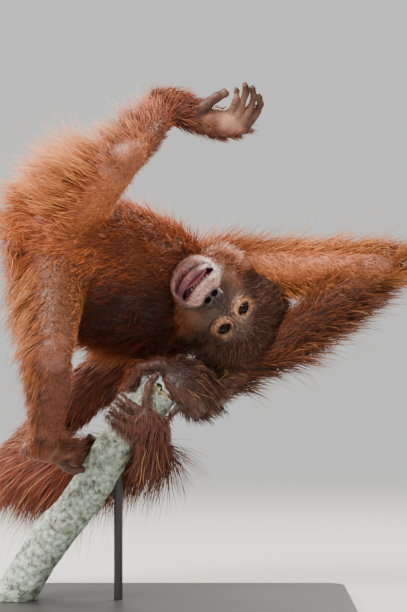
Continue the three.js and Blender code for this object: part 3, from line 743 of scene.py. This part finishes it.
def face_colors(points):
    """Colours of the head's skin and how bare it is, by place in the head."""
    right, up, front = to_head(points).T
    side, from_eye = np.abs(right), np.abs(right) - EYE_SIDE
    by_mouth = np.clip(right, -MOUTH_HALF, MOUTH_HALF)

    def spot(x, half_x, y, half_y, low, high, uneven=0):
        return ramp(uneven - np.hypot(x / half_x, y / half_y), low, high)

    muzzle = spot(right, 38, up + 84, 38, -1.26, -0.74, 0.1 * noise(points, 18, 2)) * ramp(front, -40, -16)
    from_muzzle = np.abs(np.hypot(right, up + 84) / 38 - 1.12)
    folds = 0.5 + 0.5 * noise(points, 6, 4)
    lips = ramp(1.5 * noise(points, 10, 15) - np.abs(up - mouth_up(by_mouth) + 5), -14, -8)
    lips *= ramp(-side, -33, -28) * ramp(front, 4, 14)
    freckles = ramp(noise(points + 3 * noise(points, 12, 10)[:, None], 5.5, 8, 4), 0.2, 0.5)
    color = layered(FACE_DARK, len(points), [
        (CHEEK, 0.8 * ramp(side, 22, 44) * ramp(-up, 5, 40)),
        (FACE_TAN, muzzle),
        # Painted shade in the fold along the muzzle's upper edge
        (FOLD_SHADE, 0.85 * ramp(-from_muzzle, -0.16, 0) * ramp(up, -70, -52) * ramp(front, -10, 4)),
        (EYE_RING, spot(from_eye, 16, up + 3.5, 13, -1.15, -0.4, 0.25 * folds)
         * ramp(front, -6, 2) * (0.35 + 0.65 * folds)),
        # Painted shade in the rim round the eye opening
        (FOLD_SHADE, 0.75 * spot(from_eye, 11, up + 0.14 * from_eye, 7.4, -1.12, -0.95) * ramp(front, 0, 4)),
        (NOSE_DARK, 0.9 * spot(right, 20, up + 44, 14, -1.15, -0.7) * ramp(front, 16, 26)),
        (NOSE_DARK, 0.55 * spot(right, 9, up + 20, 24, -1.1, -0.5) * ramp(front, 8, 16)),
        # Painted shade inside the nostrils
        (NOSTRIL_SHADE, spot(side - 6.6, 5.6, up + 49, 3.9, -1.15, -0.8) * ramp(front, 24, 30)),
        (LIP_PINK, 0.9 * lips),
        (MOUTH_RED, lips * ramp(mouth_front(by_mouth) - front, 3.5, 6)),
        (SORE_PINK, 0.6 * muzzle * ramp(noise(points, 15, 14), 0.15, 0.6) * ramp(-up, 84, 92)),
        (FACE_DARK, 0.6 * muzzle * freckles),
    ])
    rise = (up + 30) / np.where(up > -30, 60, 92)
    face = spot(right, 54, rise, 1, -1.1, -0.55, 0.08 * noise(points, 16, 6))
    face *= ramp(front + 0.3 * np.abs(up + 30), -34, -8)
    bare = np.maximum.reduce([face, muzzle, 0.8 * spot(side - 60, 8, up + 8, 19, -1.1, -0.8)])
    color = dye(SCALP, color, np.clip(bare * 1.8, 0, 1))
    # The noise is the skin's own uneven tone; the crease lines are painted light and shade of wrinkles
    mottle_and_crease_shade = 1 + 0.18 * noise(points, 26, 3) + 0.24 * noise(points, 5, 9) + crease_light_and_shade(side, up, front, points)
    return color * mottle_and_crease_shade[:, None], bare


# Palms and soles: their forms, the way they face, how bare the digits are, how dark, and where they start
PALMS = [
    (right_foot, V(0.0, -0.9, 0.35), 1.0, 0.95, 0.5),
    (left_foot, V(0.3, 0.3, -0.9), 0.9, 0.9, 0.0),
    (right_hand, V(-0.2, -0.2, -0.95), 0.3, 0.6, 0.0),
    (left_hand, V(-0.5, 0.5, -0.3), 0.35, 0.95, 0.0),
]
# The pale ball of the raised foot
SOLE_BALL = V(44, -56, 664)
# Thin patches: the middle and the size
THIN_PATCHES = [
    (mix(right_knee, right_hip, 0.18) + V(10, -18, 0), 40), (right_knee + V(4, -20, 8), 26),
    (left_knee + V(4, -18, -10), 26), (left_ankle + V(0, -16, 8), 22), (right_elbow + V(10, -12, 4), 24),
]


def bare_limb(points, normals):
    """How bare the body's skin is on digits, palms and soles, and how dark it is."""
    bare, dark = np.zeros(len(points)), np.ones(len(points))
    for forms, way, digits, tone, start in PALMS:
        distance, along = forms[0].near(points, 12)
        close = ramp(-distance, -6, -1)
        dark += close * (tone - dark)
        if start:
            close = close * ramp(along, start - 0.12, start + 0.12)
        bare = np.maximum(bare, close * ramp(normals @ unit(way), -0.1, 0.35) * (0.4 + 0.6 * digits))
        for form in forms[1:]:
            distance, along = form.near(points, 12)
            close = ramp(-distance, -4, -0.5)
            dark += close * (0.42 * tone - dark)
            bare = np.maximum(bare, close * ramp(along, 0.0, 0.15) * digits)
    return bare, dark


def thin_patches(points):
    """How thin the hair is over the knees, the inside of a thigh, an ankle and an elbow."""
    uneven = 1 + 0.45 * noise(points, 22, 13)
    patches = [ramp(-norm(points - middle) * uneven, -size, -size * 0.25)
               for middle, size in THIN_PATCHES]
    return np.maximum.reduce(patches)


def body_colors(points, normals, weights):
    inner, short = facing_inner(weights, normals)
    coat = dye(blended(weights, "root"), blended(weights, "skin"), inner * (1 - short))
    # Painted shade darkens the skin on the lower front of the trunk
    coat = dye(coat, BELLY_SHADE_ROOT, belly_painted_shade(points, weights, normals))
    coat = dye(coat, THIN_TAN, 0.45 * thin_patches(points))
    bare, dark = bare_limb(points, normals)
    ball = ramp(-norm(points - SOLE_BALL), -34, -14)
    pale = np.clip(0.12 + 0.8 * ball + 0.25 * noise(points, 18, 11), 0, 1)
    palm = dye(PALM_DARK, PALM_TAN, pale)
    color = dye(coat * 0.9, palm * dark[:, None], np.clip(bare * 1.3, 0, 1))
    return color * (1 + 0.12 * noise(points, 22, 5) + 0.1 * noise(points, 5, 12))[:, None], bare


# One skin over head and body
skin_look = skin_material()
body_points, body_quads = body_grid.mesh()
head_points, head_quads = head_grid.mesh()
body_normals = body_grid.slope(body_points)
body_weights = region_weights(body_points)
body_paint, body_bare = body_colors(body_points, body_normals, body_weights)
head_paint, head_bare = face_colors(head_points)
skin = make_mesh("skin", np.vstack([body_points, head_points]),
                 np.vstack([body_quads, head_quads + len(body_points)]), skin_look)
set_paint(skin, np.vstack([body_paint, head_paint]))
flesh_nodes = ["head", "ear_right", "ear_left", "chest", "belly", "neck"]
flesh_nodes += [f"{side}_{part}" for side in ("right", "left")
                for part in ("upper_arm", "forearm", "hand", "thigh", "shank", "foot")]
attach(skin, "root")
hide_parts(*flesh_nodes)


# Eyes: glossy, wet balls with a dark brown iris and pupil
def eye_material():
    material, tree, shader = new_material("eyeball", 0.04, 0.22)
    paint = add_node(tree, "ShaderNodeAttribute", attribute_name="paint")
    wire(paint, "Color", shader, "Base Color")
    return material


def tube_quads(rings, sides):
    """Quads between closed rings that are stored one after another."""
    grid = np.arange(rings * sides).reshape(rings, sides)
    turned = np.roll(grid, -1, axis=1)
    return np.stack([grid[:-1], grid[1:], turned[1:], turned[:-1]], axis=-1).reshape(-1, 4)


def uv_sphere(rings, sides):
    """Points and quads of a unit sphere with its poles on the third axis."""
    polar = math.pi * np.linspace(0.002, 0.998, rings + 1)[:, None]
    turn = 2 * math.pi * np.arange(sides) / sides
    points = np.stack([np.sin(polar) * np.cos(turn), np.sin(polar) * np.sin(turn),
                       np.cos(polar) + 0 * turn], axis=-1)
    return points.reshape(-1, 3), tube_quads(rings + 1, sides)


def round_in_head(middle, local):
    """World places of points round a place in the head, with their third axis to the front."""
    return in_head(*middle) + local * V(-1, 1, 1) @ HEAD_AXES


def make_eye(name, side, material):
    local, quads = uv_sphere(48, 48)
    polar = np.arccos(local[:, 2])
    local *= EYE_RADIUS * (1 + 0.06 * ramp(-polar, -0.62, -0.2))[:, None]
    eye = make_mesh(name, round_in_head((side * EYE_SIDE, 0, 0), local), quads, material)
    set_paint(eye, layered(shade(120, 98, 88), len(local), [
        (shade(60, 40, 34), ramp(-np.abs(local[:, 1]), -6, -2)),
        (shade(44, 22, 12), ramp(-polar, -0.70, -0.66)),
        (shade(12, 7, 6), ramp(polar, 0.50, 0.62) * ramp(-polar, -0.72, -0.68)),
        (shade(4, 3, 3), ramp(-polar, -0.36, -0.30)),
    ]))
    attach(eye, "root")
    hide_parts("eye_right" if side > 0 else "eye_left")


eye_look = eye_material()
make_eye("eyeball_right", 1, eye_look)
make_eye("eyeball_left", -1, eye_look)


# Coat: thin closed strands of three sides that taper to a point
STRAND_SIDES = 3
STRAND_PROFILE = V(0.42, 0.5, 0.36)
STRANDS = 60000
HEAD_STRANDS = 32000
PIECE_LIMIT = 12000
GUARD_SHARE = 0.09
HAIR_WIDTH = 0.95
PATCH = 0.003
hair_look = hair_material()

# How far the hair may reach, a little past the solids
cad_low, cad_high = (np.array(corner) / MM for corner in cad_box)
REACH_MARGIN = 0.025 * (cad_high - cad_low) + 7


def scatter(points, quads, density, count):
    """Random places on the quads, by area and by each quad's density."""
    a, b, c, d = (points[quads[:, i]] for i in range(4))
    area = norm(np.cross(b - a, c - a)) + norm(np.cross(c - a, d - a))
    weight = area * density[quads].mean(axis=1)
    chosen = rng.choice(len(quads), size=count, p=weight / weight.sum())
    u, v = rng.random(count)[:, None], rng.random(count)[:, None]
    return mix(mix(a[chosen], b[chosen], u), mix(d[chosen], c[chosen], u), v)


def strand_paths(roots, normals, lie, length, droop, lift, grid, steps):
    """Places along each strand: lifted off the skin, along the lie, and down at the tip."""
    way = unit(unit(lie - normals * dot(lie, normals)[:, None]) + normals * lift[:, None])
    path = [roots - normals * 1.2]
    for i in range(steps):
        bend = 0.45 * (droop * (i + 0.5) / steps)[:, None]
        way = unit(way * (1 - bend) + V(0, 0, -1) * bend + rng.normal(size=way.shape) * 0.12)
        place = path[-1] + way * (length / steps)[:, None]
        push = np.maximum(0, 1.5 + i - grid.at(place))
        low = push > 0
        place[low] += grid.slope(place[low]) * np.minimum(push[low], 12)[:, None]
        path.append(np.clip(place, cad_low - REACH_MARGIN, cad_high + REACH_MARGIN))
        way = unit(path[-1] - path[-2])
    return np.stack(path, axis=1)


def clump(paths, locks, strength):
    """Draws the tips of neighbours together into so many locks."""
    roots = paths[:, 0]
    picks = rng.choice(len(roots), size=locks, replace=False)
    tree = KDTree(locks)
    for i, pick in enumerate(picks):
        tree.insert(roots[pick], i)
    tree.balance()
    guides = paths[picks][[tree.find(root)[1] for root in roots]]
    apart = roots - guides[:, 0]
    near = np.clip(1.6 - norm(apart) / 9.0, 0, 1)
    share = np.linspace(0, 1, paths.shape[1]) ** 1.4 * strength * near[:, None]
    return mix(paths, guides + 0.25 * apart[:, None], share[:, :, None])


def strand_mesh(name, paths, width, root_color, tip_color, patch):
    """One mesh of closed strands, with colours from root to tip and the OFBake map.

    On the map each strand is a small patch at its root's place on the skin's unwrap.
    """
    count, steps = len(paths), paths.shape[1] - 1
    tangents = unit(np.gradient(paths, axis=1))
    across = unit(np.cross(tangents, rng.normal(size=(count, 1, 3))))
    over = np.cross(tangents, across) * 0.7
    turn = 2 * math.pi * np.arange(STRAND_SIDES)[:, None] / STRAND_SIDES
    around = across[:, :-1, None] * np.cos(turn) + over[:, :-1, None] * np.sin(turn)
    rings = paths[:, :-1, None] + around * (width[:, None] * STRAND_PROFILE[:steps])[:, :, None, None]
    points = np.concatenate([rings.reshape(count, -1, 3), paths[:, -1:]], axis=1)
    per = points.shape[1]
    top = per - 1 - STRAND_SIDES + np.arange(STRAND_SIDES)
    quads = tube_quads(steps, STRAND_SIDES)
    tip = np.stack([top, np.roll(top, -1), np.full(STRAND_SIDES, per - 1)], axis=1)
    faces = np.vstack([[[0, 2, 1]], quads[:, [0, 3, 2]], quads[:, [0, 2, 1]], tip])
    all_faces = (faces[None] + per * np.arange(count)[:, None, None]).reshape(-1, 3)
    piece = make_mesh(name, points.reshape(-1, 3), all_faces, hair_look)
    # Colour runs from root to tip; the lighter tips are partly the hair's own colour and partly painted glow
    # of the backlight through them
    share = np.append(np.repeat(np.arange(steps) / steps, STRAND_SIDES) * 1.2, 1.0)
    set_paint(piece, mix(root_color[:, None], tip_color[:, None], share[:, None]).reshape(-1, 3))
    local = np.array([[(i % 3) / 3 + 0.15, (i // 3) / 3.2] for i in range(per)]) * PATCH
    uv = patch[:, None, :] * (1 - PATCH) + local[faces.ravel()]
    piece.data.uv_layers.new(name="OFBake").data.foreach_set("uv", uv.astype(np.float32).ravel())
    return piece


def coat_pieces(name, order, *strands):
    """The strands as pieces within the limit, in the given order."""
    for n, chosen in enumerate(np.array_split(order, math.ceil(len(order) / PIECE_LIMIT))):
        yield strand_mesh(f"{name}_{n + 1}", *(values[chosen] for values in strands))


def unwrap(places, cell):
    """Places on the skin's unwrap: the turn round a region's form across, the share along it up."""
    form = regions[cell].form
    along = form.distance(places)[1]
    index = np.clip(along * (len(form.rows) - 1), 0, len(form.rows) - 1.001).astype(int)
    off = places - form.rows[index, :3]
    tangent = unit(form.rows[index + 1, :3] - form.rows[index, :3])
    across = unit(form.wide - tangent * (tangent @ form.wide)[:, None])
    turn = np.arctan2(dot(off, np.cross(tangent, across)), dot(off, across))
    u = (cell + 0.02 + 0.96 * (turn / (2 * math.pi) + 0.5)) / len(regions)
    return np.stack([u, 0.01 + 0.98 * along], axis=1)


def from_digits(points, limbs):
    """How far the points are from fingers or toes."""
    return np.minimum.reduce([form.near(points, 12)[0] for forms in limbs for form in forms[1:]])


def wavy(points, size, seeds):
    """Smooth random directions."""
    return np.stack([noise(points, size, seed) for seed in seeds], axis=1)


def body_coat():
    density = (1 - np.clip(body_bare, 0, 1)) * (1 - 0.55 * thin_patches(body_points))
    density *= ramp(from_digits(body_points, FEET), 1.0, 5.0)
    roots = scatter(body_points, body_quads, density, STRANDS)
    inside_head = np.all((roots > head_low + 3) & (roots < head_high - 3), axis=1)
    roots = roots[~inside_head | (head_grid.at(roots) > -2)]
    count = len(roots)
    normals = body_grid.slope(roots)
    weights = region_weights(roots)
    # Painted shade of the lower front of the trunk; its share also shortens the hair there
    belly_shade_share = belly_painted_shade(roots, weights, normals)
    short = facing_inner(weights, normals)[1] * (0.4 + 0.6 * ramp(from_digits(roots, HANDS), 2, 14))
    short *= (1 - 0.3 * belly_shade_share) * (1 - 0.5 * thin_patches(roots))
    guard = rng.random(count) < GUARD_SHARE * ramp(short, 0.4, 0.9)
    lie = blended(weights, "lie") + 0.28 * wavy(roots, 60, (21, 22, 23))
    length = blended(weights, "length") * (1 + 0.25 * noise(roots, 35, 31)) * rng.uniform(0.6, 1.25, count)
    length *= short * np.where(guard, 1.2, 1)
    lift = blended(weights, "lift") * rng.uniform(0.6, 1.5, count) * np.where(guard, 1.9, 1)
    paths = strand_paths(roots, normals, lie, length, blended(weights, "droop"), lift, body_grid, 3)
    paths = np.where(guard[:, None, None], paths, clump(paths, count // 16, 0.45))
    root_color = dye(blended(weights, "root"), blended(weights, "skin"), 0.6 * (1 - short))
    # Painted shade on the roots and tips of the strands on the lower front of the trunk
    root_color = dye(root_color, BELLY_SHADE_ROOT, belly_shade_share)
    tip_color = dye(blended(weights, "tip"), BELLY_SHADE_TIP, belly_shade_share)
    # Guard hairs' pale tips, partly painted glow of the backlight
    tip_color = dye(tip_color, GUARD_GLOW_TIP, 0.5 * guard)
    tone = ((1 + 0.18 * noise(roots, 30, 41)) * rng.uniform(0.6, 1.4, count))[:, None]
    width = HAIR_WIDTH * rng.uniform(0.7, 1.2, count) * (0.6 + 0.4 * short) * np.where(guard, 0.7, 1)
    owner = np.argmax(weights, axis=1)
    patch = np.zeros((count, 2))
    for cell in np.unique(owner):
        patch[owner == cell] = unwrap(roots[owner == cell], cell)
    order = np.argsort(owner, kind="stable")
    for coat in coat_pieces("coat", order, paths, width, root_color * tone, tip_color * tone, patch):
        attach(coat, "root")


HAIR_HEAD_ROOT, HAIR_HEAD_TIP = shade(34, 17, 14), shade(92, 46, 36)
JAW_ROOT, JAW_TIP = shade(104, 52, 32), shade(176, 96, 60)
PALE_TIP, PALE_SHARE = shade(196, 156, 134), 0.2


def head_coat():
    roots = scatter(head_points, head_quads, np.clip(1.1 - head_bare, 0, 1) ** 1.2, HEAD_STRANDS)
    roots = roots[body_grid.at(roots) > -3]
    count = len(roots)
    paint, bare = face_colors(roots)
    right, up, front = to_head(roots).T
    back = np.stack([right * 0.014, 0.42 - up * 0.002, np.full(count, -0.8)], axis=1)
    lie = back @ HEAD_AXES + 0.2 * wavy(roots, 40, (51, 52, 53))
    furry = np.clip(1 - bare * 1.3, 0, 1)
    behind = ramp(-front, -12, 60)
    length = (5 + 38 * furry ** 1.5 * (0.26 + 0.74 * behind)) * rng.uniform(0.6, 1.2, count)
    lift = (0.25 + 0.4 * furry + 0.5 * furry * behind) * rng.uniform(0.6, 1.4, count)
    paths = strand_paths(roots, head_grid.slope(roots), lie, length, 0.35 * furry, lift, head_grid, 2)
    paths = clump(paths, count // 8, 0.35)
    tone = ((1 + 0.15 * noise(roots, 20, 61)) * rng.uniform(0.6, 1.35, count))[:, None]
    skinny = 0.75 * ramp(bare, 0.2, 0.8)
    jaw = ramp(-up, 15, 45) * ramp(-front, -12, 6)
    root_color = dye(dye(HAIR_HEAD_ROOT, paint, skinny), JAW_ROOT, 0.95 * jaw) * tone
    tip_color = dye(dye(HAIR_HEAD_TIP, paint * 1.05, skinny), JAW_TIP, 0.95 * jaw) * tone
    pale = rng.random(count) < PALE_SHARE
    tip_color = dye(tip_color, PALE_TIP, 0.45 * pale * (1 - jaw))
    width = (0.4 + 0.55 * furry) * rng.uniform(0.7, 1.2, count)
    polar = np.arctan2(right, up + 16)
    patch = np.stack([0.01 + 0.98 * (polar / (2 * math.pi) + 0.5),
                      np.clip((front + 115) / 165, 0.01, 0.99)], axis=1)
    for coat in coat_pieces("head_coat", np.arange(count), paths, width, root_color, tip_color, patch):
        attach(coat, "root")


body_coat()
head_coat()


# Teeth, gum and tongue
def make_mouth():
    material, tree, shader = new_material("wet_mouth", 0.2)
    painted_color(tree, shader, 260.0, 0.15)
    balls = [((4, -78.5, 20), (20, 4.6, 18), shade(178, 96, 118)),
             ((0, -70.5, 18), (22, 4.0, 15), shade(150, 78, 96))]
    for n in range(-2, 4):
        right = n * 5.2
        balls.append(((right, mouth_up(right) + 4.4, mouth_front(right) - 8), (2.3, 2.8 - 0.6 * (n % 2), 2.0),
                      shade(176, 150, 108)))
    local, quads = uv_sphere(12, 16)
    points = [round_in_head(middle, local * V(*half)) for middle, half, color in balls]
    faces = [quads + n * len(local) for n in range(len(balls))]
    mouth = make_mesh("teeth_and_tongue", np.vstack(points), np.vstack(faces), material)
    set_paint(mouth, np.repeat([color for middle, half, color in balls], len(local), axis=0))
    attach(mouth, "root")


make_mouth()


# Perch branch: an uneven tube with bark, and a slanting break of pale splinters
BRANCH_SIDES, BRANCH_RINGS, BREAK_RINGS = 120, 240, 14
SPLINTER = shade(232, 214, 160)


def bark_material():
    material, tree, shader = new_material("pale_bark", 0.85)
    place = painted_color(tree, shader, 150.0, 1.5)
    rough = add_node(tree, "ShaderNodeTexNoise", Scale=120.0, Detail=8.0, Roughness=0.7)
    cracks = add_node(tree, "ShaderNodeTexVoronoi", Scale=90.0, feature="DISTANCE_TO_EDGE")
    add_bump(tree, shader, place, [(rough, "Fac", 1.0, 0.009), (cracks, "Distance", 0.7, 0.003)])
    return material


def bark_colors(points):
    """Pale grey with darker stains, white and greenish lichen and dark pits."""
    pits = ramp(-np.abs(noise(points * V(1, 1, 1.4), 18, 94, 3)), -0.14, -0.03)
    return layered(shade(194, 206, 190), len(points), [
        (shade(128, 126, 106), 0.7 * ramp(noise(points, 44, 91, 4), 0.0, 0.8)),
        (shade(216, 224, 210), 0.7 * ramp(noise(points, 19, 92, 4), 0.1, 0.7)),
        (shade(66, 66, 52), 0.9 * pits * ramp(noise(points, 30, 95), -0.5, 0.3)),
        (shade(126, 138, 96), 0.5 * ramp(noise(points, 27, 93, 4), 0.3, 0.8)),
    ])


def make_branch():
    share = np.linspace(-0.06, 1.0, BRANCH_RINGS)
    i = (share + 0.08) / 1.12 * 9
    centre = branch_foot + (branch_end - branch_foot) * share[:, None]
    centre += branch_side * (2.5 * np.sin(i * 1.7))[:, None] + V(0, 1, 0) * (2 * np.cos(i * 2.3))[:, None]
    radius = BRANCH_RADIUS * (1.06 - 0.012 * i + 0.03 * np.sin(i * 2.6)) - 0.8
    turn = np.linspace(0, 2 * math.pi, BRANCH_SIDES, endpoint=False)
    around = np.cos(turn)[:, None] * V(0, -1, 0) + np.sin(turn)[:, None] * branch_side
    flat = (centre[:, None] + around * radius[:, None, None]).reshape(-1, 3)
    bumps = 0.9 * noise(flat, 45, 71) + 0.5 * noise(flat, 14, 72)
    flat += np.tile(around, (BRANCH_RINGS, 1)) * (bumps - 0.6)[:, None]
    jag = 6 + 5 * np.cos(turn - 1.0) + 2.5 * np.sin(turn * 5 + 1) + 1.6 * np.sin(turn * 11)
    below = (branch_end - flat) @ branch_line
    flat += branch_line * np.minimum(0, below - np.tile(jag, BRANCH_RINGS))[:, None]
    sunk = np.minimum(0, flat[:, 2] - BASE_THICKNESS - 0.3)
    flat -= branch_line * (sunk / branch_line[2])[:, None]
    rings = list(flat.reshape(BRANCH_RINGS, BRANCH_SIDES, 3))
    colors = list(bark_colors(flat).reshape(BRANCH_RINGS, BRANCH_SIDES, 3))
    foot, rim = rings[0], rings[-1]
    for n in range(1, BREAK_RINGS + 1):
        inward = 1 - n / (BREAK_RINGS + 0.02)
        ring = mix(rim.mean(axis=0), rim, inward)
        spread = noise(ring, 9, 81) * 3.5 * (1 - abs(2 * inward - 1))
        rings.append(ring + branch_line * (spread - 2.0 * (1 - inward))[:, None])
        colors.append(SPLINTER * (1 + 0.25 * noise(ring, 6, 82))[:, None])
    points = np.vstack([mix(foot.mean(axis=0), foot, 0.002), *rings])
    quads = tube_quads(len(rings) + 1, BRANCH_SIDES)
    if signed_volume(points, quads) < 0:
        quads = quads[:, ::-1]
    branch = make_mesh("branch", points, quads, bark_material())
    set_paint(branch, np.vstack([colors[0], *colors]))
    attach(branch, "root")
    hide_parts("perch_branch")


make_branch()


# Stand: the plain base and rod keep their own shape and get a matt black finish
def stand_material():
    material, tree, shader = new_material("stand_black", 0.45)
    place = add_node(tree, "ShaderNodeTexCoord")
    grain = add_node(tree, "ShaderNodeTexNoise", Scale=600.0, Detail=4.0)
    tint = add_node(tree, "ShaderNodeValToRGB")
    tint.color_ramp.elements[0].color = (0.020, 0.020, 0.021, 1)
    tint.color_ramp.elements[1].color = (0.032, 0.032, 0.034, 1)
    wire(grain, "Fac", tint, "Fac")
    wire(tint, "Color", shader, "Base Color")
    add_bump(tree, shader, place, [(grain, "Fac", 0.15, 0.0003)])
    return material


stand_look = stand_material()
for name in ("stand_base", "stand_rod"):
    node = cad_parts[name]
    node.data.materials.clear()
    node.data.materials.append(stand_look)


# Floor, light and camera
FLOOR_HALF = 6000.0


def make_floor():
    """A pale floor that fades into the light around it."""
    points = FLOOR_HALF * np.array([(-1, -1, 0), (1, -1, 0), (1, 1, 0), (-1, 1, 0)])
    material, tree, shader = new_material("pale_floor", 0.9)
    shader.inputs["Base Color"].default_value = (0.50, 0.50, 0.49, 1)
    place = add_node(tree, "ShaderNodeTexCoord")
    away = add_node(tree, "ShaderNodeVectorMath", operation="LENGTH")
    fade = add_node(tree, "ShaderNodeMapRange", interpolation_type="SMOOTHSTEP",
                    **{"From Min": 0.5, "From Max": 2.8, "To Min": 1.0, "To Max": 0.0})
    wire(place, "Object", away, 0)
    wire(away, "Value", fade, "Value")
    wire(fade, "Result", shader, "Alpha")
    make_mesh("floor", points, np.array([[0, 1, 2, 3]]), material, smooth=False)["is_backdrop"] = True


def make_light(name, place, target, energy, size, color):
    data = bpy.data.lights.new(name, "AREA")
    data.energy, data.size, data.color = energy, size, color
    light = add_object(name, data)
    light.location = place
    light.rotation_euler = (Vector(target) - Vector(place)).to_track_quat("-Z", "Y").to_euler()


def make_world():
    world = bpy.data.worlds.new("soft_studio")
    bpy.context.scene.world = world
    world.use_nodes = True
    background = world.node_tree.nodes["Background"]
    background.inputs["Color"].default_value = (0.86, 0.88, 0.86, 1)
    background.inputs["Strength"].default_value = 0.86


def make_camera():
    data = bpy.data.cameras.new("camera")
    data.sensor_width = SENSOR
    data.lens = SENSOR * CAMERA_DISTANCE / FRAME_HEIGHT
    camera = add_object("camera", data)
    camera.location = (0, -CAMERA_DISTANCE, CAMERA_HEIGHT)
    camera.rotation_euler = (math.pi / 2, 0, 0)
    bpy.context.scene.camera = camera


make_floor()
make_world()
make_light("key", (-0.9, -1.4, 2.3), (0, 0, 0.45), 128, 0.7, (1.0, 0.96, 0.90))
make_light("rim", (0.9, 1.3, 1.6), (0, 0, 0.5), 80, 0.8, (1.0, 0.9, 0.76))
make_light("back_left", (-1.5, 1.1, 1.3), (-0.1, 0, 0.5), 70, 0.8, (1.0, 0.9, 0.76))
make_camera()

boxes = {"cad": cad_box, "visual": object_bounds()}
{name: [[float(n) for n in corner] for corner in box] for name, box in boxes.items()}
